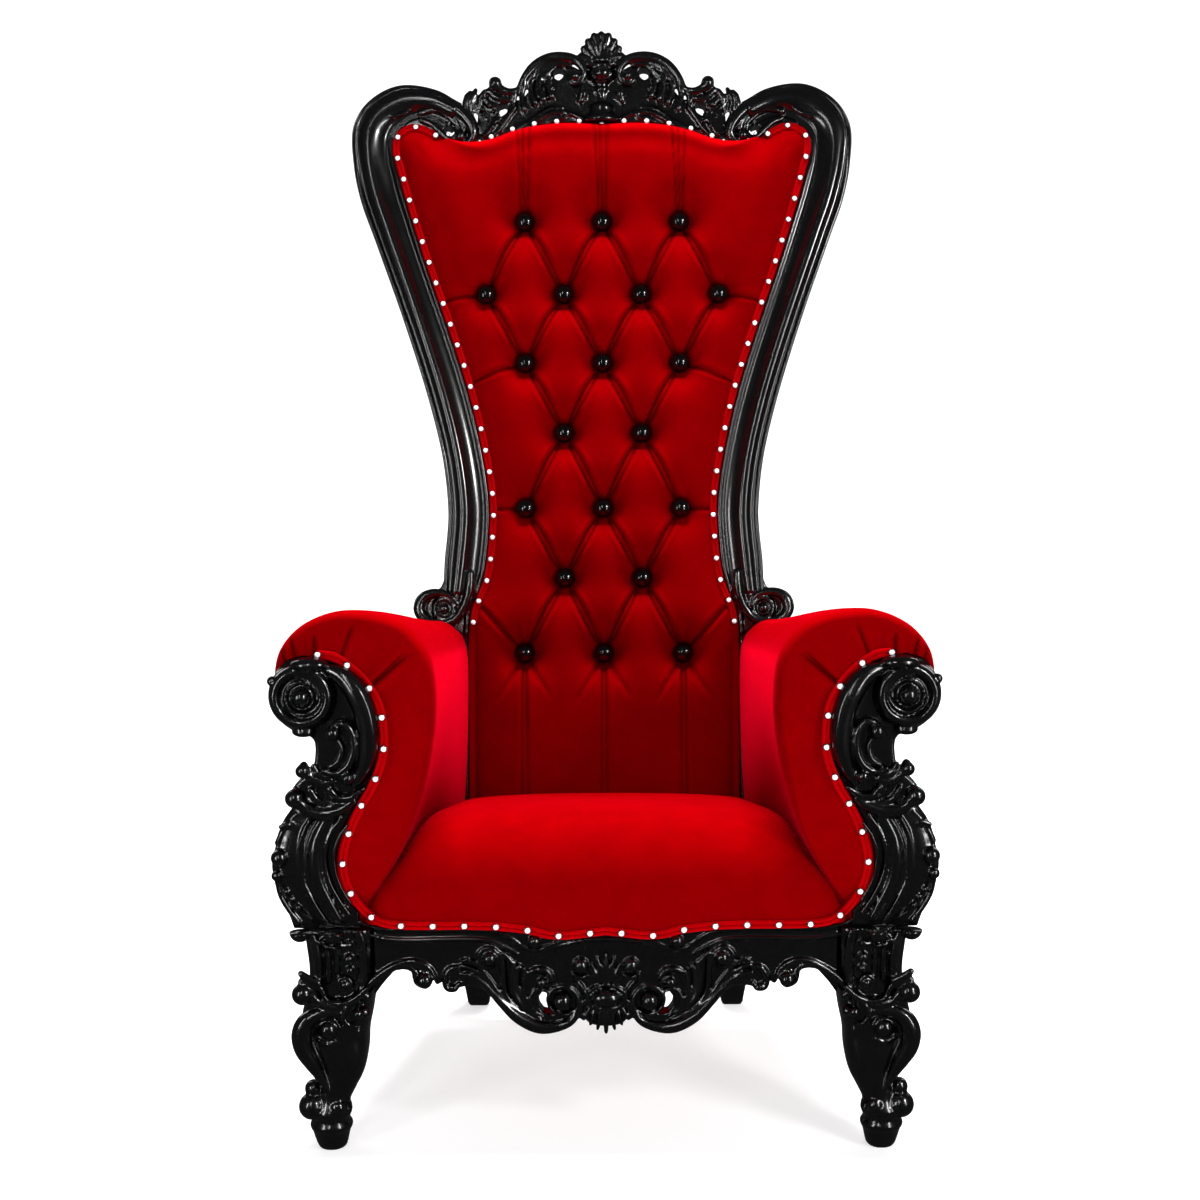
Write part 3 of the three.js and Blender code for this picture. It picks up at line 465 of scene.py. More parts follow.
def dress(thing, slot, *nodes):
    """Finishes a piece: the material of its slot, hiding the CAD parts that it stands for, and what it rides
    on.
    """
    thing.data.materials.clear()
    thing.data.materials.append(finish_named(slot))
    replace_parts(thing, *nodes)
    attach(thing, "root")
    return thing


def dress_pair(left, name, slot, node):
    """Finishes a left piece and its mirror image. Their names and nodes end in _left and _right."""
    left.name = f"{name}_left"
    right = mirror_piece(left, f"{name}_right")
    return dress(left, slot, f"{node}_left"), dress(right, slot, f"{node}_right")


# The back's lines

OPENING_SIDE = on_back([
    (-0.268, 0.15), (-0.268, 0.216), (-0.262, 0.25), (-0.238, 0.29), (-0.228, 0.34),
    (-0.226, 0.39), (-0.241, 0.456), (-0.269, 0.534), (-0.307, 0.612), (-0.348, 0.69),
    (-0.386, 0.768), (-0.409, 0.822), (-0.4185, 0.846), (-0.414, 0.864), (-0.405, 0.8725),
])
OPENING_TOP = on_back([
    (-0.405, 0.8725), (-0.384, 0.8795), (-0.364, 0.8795), (-0.344, 0.8745),
    (-0.314, 0.864), (-0.27, 0.8575), (-0.226, 0.86), (-0.18, 0.8705), (-0.14, 0.877),
    (-0.08, 0.881), (0, 0.8797),
])
BACK_BASE = -54
SIDE_LINE = smooth_line(np.vstack([[(-246, BACK_BASE)], OPENING_SIDE]), 120)
TOP_LINE = smooth_line(OPENING_TOP, 60)
OPENING_HALF = np.vstack([SIDE_LINE, TOP_LINE[1:]])
STILE_OUTER = on_back([
    (-0.319, 0.27), (-0.3165, 0.313), (-0.3105, 0.352), (-0.309, 0.378), (-0.319, 0.443),
    (-0.347, 0.52), (-0.397, 0.624), (-0.4535, 0.728), (-0.482, 0.78), (-0.496, 0.826),
    (-0.4965, 0.878), (-0.466, 0.91), (-0.4085, 0.93), (-0.34, 0.9265), (-0.28, 0.907),
])
BUTTONS = on_back([
    (x, w)
    for w, row in (
        (0.752, (-0.154, 0, 0.154)),
        (0.658, (-0.2315, -0.077, 0.077, 0.2315)),
        (0.5687, (-0.154, 0, 0.154)),
        (0.478, (-0.077, 0.077)),
        (0.3809, (-0.154, 0, 0.154)),
        (0.2905, (-0.077, 0.077)),
        (0.1937, (-0.157, 0, 0.157)),
    )
    for x in row
])

# Across the stile, outer edge at 0 and inner edge at 1, with the height in front of the back's plane
STILE_PROFILE = [
    (0, -2), (0.004, 3), (0.03, 7.5), (0.065, 8.5), (0.1, 6.5), (0.125, 3.5), (0.155, 3.5), (0.2, 9),
    (0.27, 16), (0.35, 19.5), (0.44, 18.5), (0.53, 13.5), (0.62, 8), (0.72, 4), (0.81, 2), (0.865, 1.5),
    (0.885, 3), (0.905, 5.8), (0.94, 7.2), (0.975, 6), (0.997, 2.5), (1.0, -2),
]


def stile_rail():
    """The moulded length of the stile, from the lower volute round the ear."""
    outer = smooth_line(STILE_OUTER, 170)
    inward = -normals_of(outer)
    start, end = OPENING_HALF[:-1], OPENING_HALF[1:]
    run = end - start
    widths = []
    for place, way in zip(outer, inward):
        cross = way[0] * run[:, 1] - way[1] * run[:, 0]
        cross = np.where(np.abs(cross) < 1e-9, 1e-9, cross)
        to = start - place
        reach = (to[:, 0] * run[:, 1] - to[:, 1] * run[:, 0]) / cross
        share = (to[:, 0] * way[1] - to[:, 1] * way[0]) / cross
        hits = reach[(share >= 0) & (share <= 1) & (reach > 30)]
        widths.append(min(hits) - GAP if len(hits) else 90)
    t = np.linspace(0, 1, len(outer))
    widths = np.clip(widths, 40, 82) - 22 * eased((t - 0.86) / 0.14)
    soft = np.convolve(np.pad(widths, 4, mode="edge"), np.ones(9) / 9, mode="valid")
    profile = smooth_line(STILE_PROFILE, 64)
    rear = np.array([(1, FRAME_DEPTH - 4), (0.95, FRAME_DEPTH), (0.05, FRAME_DEPTH), (0, FRAME_DEPTH - 4)])
    section = np.vstack([np.stack([profile[:, 0], -profile[:, 1]], axis=1), rear])
    x = outer[:, 0:1] + inward[:, 0:1] * section[:, 0] * soft[:, None]
    w = outer[:, 1:2] + inward[:, 1:2] * section[:, 0] * soft[:, None]
    ear = eased((t - 0.66) / 0.12)[:, None]
    dome = -3 - 17 * np.sin(math.pi * np.clip(section[:, 0] / 0.8, 0, 1)) ** 0.7
    dome = np.where(section[:, 1] > 0, section[:, 1], dome)
    y = section[:, 1] * (1 - ear) + dome * ear
    return solid_object("rail", *skinned(np.stack([x, y, w], axis=-1)), leaning=True)


def stile_ear():
    """The scroll that closes the ear, with its leaf."""
    carving = Carving(4)
    carving.plate(
        np.array([
            (-425, 1240), (-420, 1262), (-400, 1286), (-360, 1300), (-310, 1300), (-270, 1286),
            (-240, 1262),
            (-226, 1235), (-232, 1214), (-252, 1213), (-290, 1223), (-334, 1245), (-372, 1240),
        ], float),
        5, 44, holes=[spiral((-281, 1236), (10, 10), (0, 345), 23)],
    )
    scroll = [
        [(-352, 1301, 5), (-330, 1303, 10), (-304, 1296, 12), (-276, 1280, 12), (-252, 1260, 12),
         (-238, 1240, 11),
         (-236, 1224, 9), (-245, 1212, 7), (-258, 1210, 5)],
        [(-330, 1283, 5), (-308, 1286, 7), (-286, 1276, 7), (-266, 1258, 7), (-254, 1240, 7),
         (-256, 1227, 5)],
        [(-334, 1264, 5), (-318, 1270, 6.5), (-299, 1270, 6.5), (-282, 1260, 6), (-268, 1246, 5),
         (-266, 1232, 4)],
        [(-332, 1254, 5), (-314, 1247, 6), (-297, 1232, 6.4), (-280, 1217, 6), (-262, 1211, 5)],
    ]
    carving.strands(scroll, 6)
    carving.ball(-259, 1222, 10, height=9)
    carving.ball(-331, 1266, 8, height=7)
    leaf = [
        [(-443, 1249, 2.5), (-426, 1264, 5), (-408, 1277, 7), (-393, 1275, 6), (-383, 1266, 4)],
        [(-410, 1288, 3), (-394, 1287, 5.5), (-378, 1277, 7), (-364, 1273, 4.5)],
        [(-382, 1302, 3), (-369, 1299, 5.5), (-354, 1288, 6.5), (-342, 1279, 4)],
        [(-420, 1256, 4), (-402, 1262, 6), (-384, 1258, 6), (-366, 1262, 5), (-350, 1272, 4)],
        [(-360, 1306, 3), (-344, 1301, 5.5), (-326, 1290, 6), (-312, 1281, 4)],
    ]
    carving.strands(leaf, 10, step=2)
    return carving.melted("ear", 1.6, keep=0.3, leaning=True)


def stile_foot():
    """The volute at the stile's lower end and the post below it."""
    carving = Carving(-4)
    eye = (-291, 356)
    carving.rosette(*eye, [(0, 15), (5, 14), (8, 9), (10, 4), (13, 4), (16, 10), (19, 10.5), (22, 3)], 44)
    roll = [
        (-243, 420, 9), (-244, 398, 10), (-249, 374, 9), (-261, 350, 8), (-277, 334, 8), (-299, 328, 9),
        (-322, 335, 10.5), (-336, 354, 11), (-331, 374, 10.5), (-313, 384, 9), (-293, 384, 7.5),
        (-276, 376, 6.5),
        (-267, 362, 5),
    ]
    carving.strand(roll, height=1, rise=1.1)
    carving.strand([(-262, 400, 9), (-263, 386, 11), (-266, 370, 10)], height=-6)
    beside = SIDE_LINE[(SIDE_LINE[:, 1] < 425)]
    inner = offset_line(beside, GAP)
    outline = np.vstack([
        [(-292.4, BACK_BASE)], inner, [(-286, 425), (-298, 396), (-328, 374), (-334, 348), (-312, 326),
                                       (-292.4, 318)],
    ])
    carving.add(*plate_parts(outline, 2, FRAME_DEPTH, 3))
    tail = inner[inner[:, 1] > 300]
    carving.strand(np.column_stack([offset_line(tail, 5), np.full(len(tail), 4.2)]), height=-3)
    return carving.melted("foot", 1.7, keep=0.3, leaning=True)


def crest_carving():
    """The crest: two scrolls with leaves, an urn and a shell on a pierced board."""
    carving = Carving(3)
    top = smooth_line(on_back([
        (-0.25, 0.868), (-0.246, 0.9), (-0.232, 0.916), (-0.212, 0.924), (-0.19, 0.918),
        (-0.165, 0.912), (-0.145, 0.925), (-0.125, 0.945), (-0.095, 0.96), (-0.06, 0.957),
        (-0.035, 0.95), (0.002, 0.965),
    ]), 40)
    low = smooth_line(on_back([(0.002, 0.8802), (-0.08, 0.8815), (-0.14, 0.8775), (-0.18, 0.871),
                               (-0.226, 0.8605)]), 24)
    half = np.vstack([top, low])
    crescent = np.array([
        (-86, 1349), (-77, 1351), (-70, 1348), (-68, 1341), (-72, 1333), (-78, 1328), (-84, 1330),
        (-89, 1339),
    ], float)
    gap = np.array([(-189, 1283), (-178, 1286), (-171, 1280), (-175, 1268), (-186, 1261),
                    (-191, 1270)], float)
    carving.plate(half, 2, 42, holes=[crescent, gap])
    scroll = [
        (-154, 1304, 5), (-140, 1330, 8), (-122, 1351, 9.5), (-98, 1364, 10), (-74, 1367, 10),
        (-51, 1363, 9),
        (-36, 1350, 8), (-32, 1335, 7), (-38, 1323, 6), (-50, 1319, 5.4), (-60, 1325, 4.6),
        (-60, 1335, 3.6),
    ]
    carving.strand(scroll, height=8)
    carving.ball(-48, 1331, 8.5, height=12)
    bands = [
        [(-128, 1322, 4), (-114, 1342, 6.4), (-94, 1353, 6.4), (-74, 1356, 5.6), (-57, 1352, 4)],
        [(-112, 1318, 4), (-102, 1336, 5.6), (-92, 1344, 5), (-80, 1352, 3.6)],
    ]
    carving.strands(bands, 7)
    drapery = [
        [(-90, 1344, 3.5), (-98, 1326, 5), (-97, 1308, 5.6), (-91, 1296, 7)],
        [(-102, 1348, 3.5), (-113, 1328, 5.6), (-113, 1306, 5.6), (-106, 1290, 7.4)],
        [(-117, 1346, 3.5), (-128, 1325, 5.6), (-129, 1302, 5.6), (-122, 1284, 7.4)],
        [(-131, 1337, 4), (-142, 1315, 6), (-146, 1292, 5.6), (-141, 1272, 7.4)],
        [(-148, 1318, 4), (-158, 1300, 5.4), (-162, 1284, 5.4)],
    ]
    carving.strands(drapery, 6, step=2)
    saddle = [
        [(-196, 1317, 11), (-184, 1308, 8), (-168, 1303, 7), (-152, 1308, 5)],
        [(-206, 1305, 7), (-194, 1294, 6.4), (-176, 1290, 5.6), (-160, 1292, 4)],
        [(-218, 1296, 6.4), (-208, 1284, 5.6), (-195, 1280, 4.6), (-180, 1284, 4)],
    ]
    for i, place in enumerate(saddle):
        carving.strand(place, height=9 - 2 * i)
    carving.ball(-195, 1319, 12.5, height=8)
    fronds = [
        [(-246, 1262, 4), (-250, 1280, 6.4), (-246, 1296, 6.6)],
        [(-236, 1268, 4), (-239, 1286, 5.6), (-233, 1299, 5.6)],
        [(-222, 1276, 4), (-223, 1290, 6), (-214, 1303, 6.6)],
    ]
    carving.strands(fronds, 6)
    small = [
        [(-227, 1265, 3.6), (-228, 1279, 3.8), (-221, 1289, 4), (-208, 1292, 4), (-196, 1286, 3.8),
         (-193, 1275, 3.4), (-200, 1269, 3)],
        [(-241, 1301, 6.5), (-247, 1288, 6.4), (-244, 1272, 5), (-236, 1257, 4), (-229, 1245, 3.2)],
        [(-231, 1308, 4.5), (-234, 1293, 4.4), (-231, 1279, 3.6)],
        [(-188, 1262, 3.2), (-198, 1246, 3.6), (-207, 1231, 3.8), (-216, 1224, 3.4)],
        [(-159, 1275, 4.5), (-172, 1257, 4.4), (-185, 1238, 3.4), (-197, 1225, 3)],
    ]
    carving.strands(small, 5)
    balls = [
        (-140, 1310, 3.6), (-91, 1311, 5), (-218, 1272, 4.4), (-211, 1260, 4.2), (-200, 1240, 5.2),
        (-188, 1250, 4.2), (-207, 1279, 4.6),
    ]
    carving.balls(balls, 7)
    carving.ball(-34, 1298, 10.5, height=8)
    carving.ball(-38, 1288, 7.5, height=8)
    mouldings = [
        [(-216, 1221, 3), (-205, 1221, 3.6), (-177, 1224, 3.6), (-152, 1231, 3.6), (-130, 1244, 3.6),
         (-111, 1257, 3.6), (-91, 1267, 3.6), (-71, 1268, 3.4), (-56, 1265, 3.4), (-41, 1258, 3.6),
         (-23, 1252, 3.6), (0, 1250, 3.6)],
        [(-186, 1231, 2.6), (-155, 1239, 2.6), (-131, 1252, 2.6), (-112, 1266, 2.6), (-92, 1276, 2.4),
         (-72, 1276, 2.2)],
        [(-59, 1267, 3), (-71, 1258, 3.2), (-85, 1257, 3.2), (-94, 1251, 3)],
    ]
    carving.strands(mouldings, 1)
    for i, (x, w) in enumerate(((-13, 1405), (-24, 1395), (-32, 1382), (-37, 1369), (-38, 1357))):
        base = 1362 - 3 * i
        carving.strand([(x * 0.2, base, 3.6), (x * 0.62, (base + w) / 2 + 2, 5.8),
                        (x, w, 7.2)], height=9 - i)
    carving.mirror()
    carving.strand([(0, 1366, 3.6), (0, 1390, 5.4), (0, 1408, 6.6)], height=10)
    shell = np.array([(-36, 1348), (-36, 1366), (-28, 1384), (-14, 1400), (0, 1406)], float)
    carving.plate(both_sides(smooth_line(shell, 14)), 2, 34)
    urn = [
        (0.1, 1246), (30, 1247), (35, 1252), (33, 1257), (25, 1262), (21, 1270), (23, 1275), (20, 1281),
        (10, 1285),
        (9, 1296), (11, 1305), (15, 1309), (12, 1315), (14, 1320), (23, 1328), (25, 1336), (22, 1345),
        (14, 1351), (12, 1357), (0.1, 1358),
    ]
    carving.turned(urn, (0, 6), stretch=(1, 0.8))
    carving.ring(0, 1336, 18, 2.4, height=15, squash=0.66)
    carving.ball(0, 1336, 14, height=16, stretch=(1, 0.5, 0.7))
    carving.balls([(x, 1361, 4.8) for x in (-10, 0, 10)], 12)
    return carving.melted("crest", 1.7, keep=0.42, leaning=True)


# The front's lines

ARM_OUT = 499
ARM_TOP = 829
ARM_REAR_OUT = 352
ARM_REAR_TOP = 728
ARM_FRONT = -378
ARM_REAR_Y = 240
POST_BACK = -345


def post_places(pairs):
    """Places on the arm post, from shares of its reach and its height over the rails."""
    return np.array([(x * ARM_OUT, RAIL_TOP + w * (ARM_TOP - RAIL_TOP)) for x, w in pairs])


POST_OUTER = [
    (-0.946, -0.002), (-0.98, 0.1), (-1.004, 0.157), (-1.008, 0.22), (-0.988, 0.285), (-0.958, 0.348),
    (-0.93, 0.365),
    (-0.948, 0.397), (-0.944, 0.442), (-0.912, 0.478), (-0.88, 0.506), (-0.872, 0.6), (-0.89, 0.613),
    (-0.934, 0.629), (-0.982, 0.672), (-1.002, 0.741), (-0.986, 0.803), (-0.946, 0.849), (-0.896, 0.865),
]
POST_INNER = [
    (-0.844, 0.857), (-0.8, 0.842), (-0.764, 0.827), (-0.725, 0.792), (-0.691, 0.748), (-0.667, 0.698),
    (-0.657, 0.645), (-0.657, 0.583), (-0.671, 0.529), (-0.695, 0.479), (-0.725, 0.434), (-0.758, 0.377),
    (-0.788, 0.314), (-0.806, 0.25), (-0.81, 0.192), (-0.802, 0.138), (-0.778, 0.09), (-0.747, 0.051),
]
POST_OUTLINE = np.vstack([
    smooth_line(post_places(POST_OUTER), 70),
    smooth_line(post_places(POST_INNER), 60),
    post_places([(-0.7455, -0.002)]),
])

APRON_HALF = LEG_X - LEG_BLOCK[0] / 2 - GAP


def apron_places(pairs):
    """Places on the apron, from shares of its half width and the rails' height."""
    return np.array([(x * APRON_HALF, w * RAIL_TOP) for x, w in pairs])


APRON_TOP = np.vstack([
    apron_places([(-1, 1.018)]),
    smooth_line(apron_places([
        (-0.92, 1.02), (-0.88, 1.022), (-0.62, 1.02), (-0.44, 1.012), (-0.31, 0.985), (-0.22, 0.962),
        (-0.12, 0.966), (0, 0.982),
    ]), 50),
])
APRON_BOTTOM = smooth_line(apron_places([
    (-1, 0.69), (-0.95, 0.76), (-0.885, 0.822), (-0.8, 0.832), (-0.755, 0.79), (-0.73, 0.74),
    (-0.69, 0.76), (-0.66, 0.72), (-0.62, 0.73), (-0.57, 0.735), (-0.5, 0.7), (-0.4, 0.625),
    (-0.3, 0.563), (-0.2, 0.552), (-0.11, 0.595), (-0.07, 0.56), (0, 0.545),
]), 90)


def post_carving():
    """The carved arm post: a volute, a rolled neck, acanthus cuffs and a fluted belly."""
    carving = Carving(FRONT_FACE + 2)
    carving.plate(POST_OUTLINE, FRONT_FACE + 1, POST_BACK, round_over=3)
    carving.rosette(-450, 703, [
        (0, 29), (7, 27), (12, 21), (15, 12), (18, 9.5), (21, 12), (23.5, 16), (26, 13), (29, 10), (32, 15),
        (37, 21), (43, 20), (48, 13), (51, 2),
    ], 34)
    carving.strand(np.column_stack([spiral((-450, 703), (33, 24),
                                           (95, -150), 16), np.linspace(3.4, 2, 17)]), height=15)
    carving.ball(-437, 752, 25, height=4, stretch=(1.16, 0.8, 0.46))
    carving.ball(-493, 727, 8, height=8)
    carving.ball(-449, 650, 15, height=0, stretch=(1.2, 1, 0.6))
    carving.strand([(-412, 745, 9), (-387, 733, 15), (-368, 709, 19), (-356, 680, 19), (-351, 650, 18),
                    (-353, 619, 16),
                    (-362, 592, 12), (-373, 572, 8)], height=2, rise=1.15)
    carving.ball(-404, 649, 11.5, height=14)
    curls = [
        [(-405, 659, 5), (-390, 663, 6), (-377, 651, 6.4), (-374, 624, 6.4), (-383, 599, 6),
         (-403, 587, 4.6),
         (-420, 592, 3.2)],
        [(-399, 641, 3.6), (-392, 623, 4.4), (-398, 605, 4.4), (-411, 597, 3.2)],
    ]
    carving.strands(curls, 12)
    cuffs = [
        [(-449, 599, 7), (-441, 582, 7.4), (-424, 571, 7), (-404, 575, 4.7)],
        [(-435, 599, 4), (-426, 584, 5), (-411, 580, 4)],
        [(-374, 586, 4.7), (-368, 575, 4), (-375, 565, 3.3)],
        [(-462, 552, 9), (-447, 533, 9.4), (-422, 526, 9), (-395, 533, 7.4), (-375, 545, 4.4)],
        [(-441, 562, 5.3), (-430, 545, 6), (-408, 537, 5.4), (-388, 543, 3.6)],
        [(-411, 563, 5), (-400, 550, 5.6), (-382, 550, 5), (-361, 563, 3.6)],
        [(-421, 566, 3.4), (-415, 552, 4), (-402, 544, 3.4)],
    ]
    carving.strands(cuffs, 7, step=2)
    carving.ball(-451, 591, 11, height=9)
    carving.ball(-384, 580, 10, height=12)
    carving.ball(-464, 549, 15, height=6)
    carving.strand([(-445, 528, 24), (-458, 495, 32), (-464, 459, 34), (-456, 420, 32), (-440, 385, 26),
                    (-424, 358, 20)],
                   height=-12, rise=0.4, sides=24)
    belly = [
        [(-439, 521, 3), (-453, 494, 3.2), (-459, 459, 3.2), (-454, 421, 3.2), (-438, 387, 3),
         (-420, 358, 2.7)],
        [(-429, 520, 2.4), (-444, 492, 2.5), (-450, 459, 2.5), (-446, 423, 2.5), (-430, 390, 2.4),
         (-412, 360, 2.1)],
        [(-394, 520, 3.4), (-412, 494, 3.6), (-421, 459, 3.6), (-416, 425, 3.6), (-402, 394, 3.4),
         (-386, 370, 3)],
        [(-386, 508, 2.8), (-400, 487, 3.2), (-408, 459, 3.2), (-405, 432, 3.2), (-395, 406, 2.8),
         (-384, 388, 2.6)],
    ]
    carving.strands(belly, 10.5)
    carving.strand([(-413, 521, 9), (-429, 492, 11), (-436, 459, 12), (-432, 425, 11), (-418, 392, 9),
                    (-402, 362, 6)],
                   height=5, rise=1.0)
    carving.strand([(-462, 524, 3.4), (-481, 504, 4), (-494, 480, 3.6)], height=3)
    turn = np.linspace(0.5, 5.6, 12)
    leaf = np.column_stack([-478 + 14 * np.cos(turn), 470 + 27 * np.sin(turn), np.full(12, 4.4)])
    carving.strand(leaf, height=3)
    carving.ball(-489, 458, 13.5, height=7)
    carving.strand([(-486, 505, 4.4), (-471, 508, 5), (-461, 495, 4.4), (-460, 480, 3.2)], height=5)
    beads = [
        (-494, 430, 9), (-480, 405, 5.4), (-473, 393, 4.6), (-464, 380, 5.6), (-408, 390, 5),
        (-394, 377, 5.4),
    ]
    carving.balls(beads, 6)
    carving.strand([(-495, 421, 4.6), (-490, 397, 4.4), (-477, 373, 4.4), (-464, 356, 4.4)], height=1)
    thing = carving.melted("post", 1.7, keep=0.42)
    return trimmed(thing, RAIL_TOP + 0.3)


def trimmed(thing, height, above=False):
    """Takes away what is below a height, or what is above it, and closes the cut."""
    work = bmesh.new()
    work.from_mesh(thing.data)
    sliced = bmesh.ops.bisect_plane(
        work, geom=work.verts[:] + work.edges[:] + work.faces[:], plane_co=(0, 0, height * MM),
        plane_no=(0, 0, 1), clear_inner=not above, clear_outer=above,
    )
    rim = [part for part in sliced["geom_cut"] if isinstance(part, bmesh.types.BMEdge)]
    bmesh.ops.holes_fill(work, edges=rim)
    work.to_mesh(thing.data)
    work.free()
    thing.data.update()
    return thing


# The front leg's rows: height as a share of the rail's, middle and half sizes as shares of the block, and how
# square the row is
LEG_ROWS = [
    (0, -0.12, -0.35, 0.18, 0.2, 2), (0.008, -0.12, -0.35, 0.2, 0.22, 2),
    (0.055, -0.128, -0.35, 0.245, 0.265, 2),
    (0.08, -0.13, -0.35, 0.265, 0.285, 2), (0.092, -0.13, -0.35, 0.29, 0.315, 2),
    (0.105, -0.13, -0.35, 0.3, 0.325, 2),
    (0.118, -0.13, -0.35, 0.285, 0.31, 2), (0.13, -0.13, -0.35, 0.25, 0.28, 2),
    (0.15, -0.13, -0.35, 0.275, 0.3, 2),
    (0.175, -0.125, -0.35, 0.29, 0.31, 2), (0.21, -0.11, -0.33, 0.245, 0.27, 2),
    (0.27, -0.04, -0.29, 0.26, 0.29, 2.3),
    (0.34, 0.03, -0.24, 0.3, 0.33, 2.6), (0.435, -0.01, -0.15, 0.4, 0.42, 2.8),
    (0.515, -0.06, -0.08, 0.46, 0.46, 3),
    (0.6, -0.04, -0.03, 0.49, 0.48, 3.4), (0.68, 0.01, 0, 0.47, 0.48, 4), (0.8, 0.045, 0, 0.45, 0.48, 5),
    (0.94, 0.03, 0, 0.47, 0.49, 6), (1, 0.02, 0, 0.48, 0.49, 6),
]


def rounded_ring(centre, halves, power, sides=48):
    """A ring between an ellipse and a square, as its power grows."""
    angle = (np.arange(sides) + 0.5) / sides * math.tau
    c, s = np.cos(angle), np.sin(angle)
    reach = (np.abs(c) ** power + np.abs(s) ** power) ** (-1 / power)
    return np.stack([
        centre[0] + c * reach * halves[0], centre[1] + s * reach * halves[1], np.full(sides, centre[2]),
    ], axis=1)


def leg_carving():
    """The front leg: a carved block, a scrolled knee and a turned foot."""
    carving = Carving(LEG_FRONT + 1)
    rows = np.array(LEG_ROWS)
    table = np.column_stack([rows[:, 0] * RAIL_TOP, np.zeros(len(rows)), rows[:, 1:]])
    fine = smooth_line(table, 90)
    rings = [
        rounded_ring(
            (-LEG_X + across * LEG_BLOCK[0], LEG_FRONT + (0.5 + deep) * LEG_BLOCK[1], height),
            (half_x * LEG_BLOCK[0], half_y * LEG_BLOCK[1]), power,
        )
        for height, _, across, deep, half_x, half_y, power in fine
    ]
    carving.add(*skinned(np.array(rings)))
    frame_line = [
        [(-424, 350, 3.6), (-413, 361, 4), (-394, 363, 4), (-378, 353, 4), (-368, 334, 4), (-364, 301, 4),
         (-366, 270, 4), (-376, 248, 4), (-392, 236, 3.8), (-406, 238, 3)],
        [(-417, 352, 2.2), (-407, 357, 2.4), (-391, 356, 2.4), (-381, 346, 2.4), (-374, 329, 2.4),
         (-371, 301, 2.4),
         (-373, 273, 2.4), (-381, 255, 2.2)],
    ]
    carving.strands(frame_line, 0)
    flutes = [
        [(-443, 341, 6), (-438, 323, 7.4), (-435, 298, 7.4), (-434, 270, 6)],
        [(-424, 332, 4), (-420, 307, 5), (-419, 288, 5), (-420, 268, 4.4)],
        [(-408, 320, 3.6), (-406, 298, 4.4), (-406, 272, 3.6)],
    ]
    carving.strands(flutes, 0)
    carving.ball(-460, 346, 17, height=0)
    carving.strand([(-456, 347, 9), (-443, 351, 6.4), (-431, 345, 4)], height=5)
    carving.ball(-408, 342, 15, height=6)
    carving.balls([(-429, 329, 4.2), (-421, 322, 4.8), (-411, 320, 4.2), (-388, 303, 8),
                   (-387, 285, 6.4)], 4)
    carving.strand([(-400, 324, 4.6), (-388, 324, 7.2)], height=3)
    carving.ball(-458, 249, 17, height=4)
    cuff = [
        [(-460, 281, 5.4), (-449, 273, 6.4), (-434, 266, 5.6)],
        [(-460, 268, 5.6), (-445, 262, 5.8), (-430, 257, 4.6)],
        [(-447, 257, 5.8), (-438, 239, 6.4), (-418, 228, 6), (-400, 229, 4)],
        [(-428, 254, 4), (-423, 240, 4.2), (-406, 233, 4.2), (-385, 238, 4.2), (-370, 249, 4),
         (-361, 257, 3.2)],
    ]
    carving.strands(cuff, 6)
    carving.ring(-395, 263, 10.5, 3, height=5)
    carving.ball(-394, 263, 6.4, height=6)
    carving.ball(-364, 241, 9.6, height=-4)
    carving.ball(-367, 216, 9.6, height=-4)
    carving.strand([(-377, 237, 3), (-391, 230, 3.6), (-397, 214, 3.6), (-389, 200, 3.6),
                    (-374, 198, 3)], height=8)
    carving.ball(-375, 218, 8.4, height=8)
    carving.strand([(-402, 218, 5), (-418, 220, 8), (-438, 217, 11), (-454, 206, 14), (-462, 187, 15),
                    (-459, 165, 15),
                    (-448, 143, 12.5), (-438, 124, 9), (-429, 106, 6.5), (-423, 93, 5)], height=4, rise=1.1)
    carving.strand([(-444, 187, 2.8), (-438, 165, 3), (-428, 136, 3), (-418, 103, 2.8)], height=-2)
    carving.strand([(-376, 186, 2.6), (-386, 165, 3), (-390, 136, 3), (-387, 103, 2.6)], height=-3)
    carving.ball(-421, 192, 15, height=2)
    carving.strand([(-436, 176, 2.6), (-423, 168, 3.2), (-410, 174, 2.6)], height=5)
    carving.strand([(-440, 197, 2.8), (-431, 209, 3.2), (-413, 209, 3.2), (-402, 195, 2.8)], height=6)
    carving.ball(-450, 67, 21, height=-10)
    carving.ball(-410, 68, 14, height=-1)
    carving.ring(-410, 68, 19, 3.2, height=-4)
    carving.strand([(-418, 92, 3), (-406, 92, 3), (-394, 84, 3)], height=-2)
    carving.ball(-448, 93, 14, height=-14)
    thing = carving.melted("leg", 1.6, keep=0.42)
    box = raw_object("space", *skinned(np.array([
        [(-353.4, -500, h), (-200, -500, h), (-200, -200, h),
         (-353.4, -200, h)] for h in (RAIL_TOP * 0.655, 500)
    ], float)))
    return cut(trimmed(thing, RAIL_TOP - 0.2, above=True), [metres(box)])


def metres(thing):
    """Takes a raw object from millimetres to metres, shifted as the pieces are."""
    for vertex in thing.data.vertices:
        vertex.co = (vertex.co.x * MM, (vertex.co.y + SHIFT_Y) * MM, vertex.co.z * MM)
    return thing


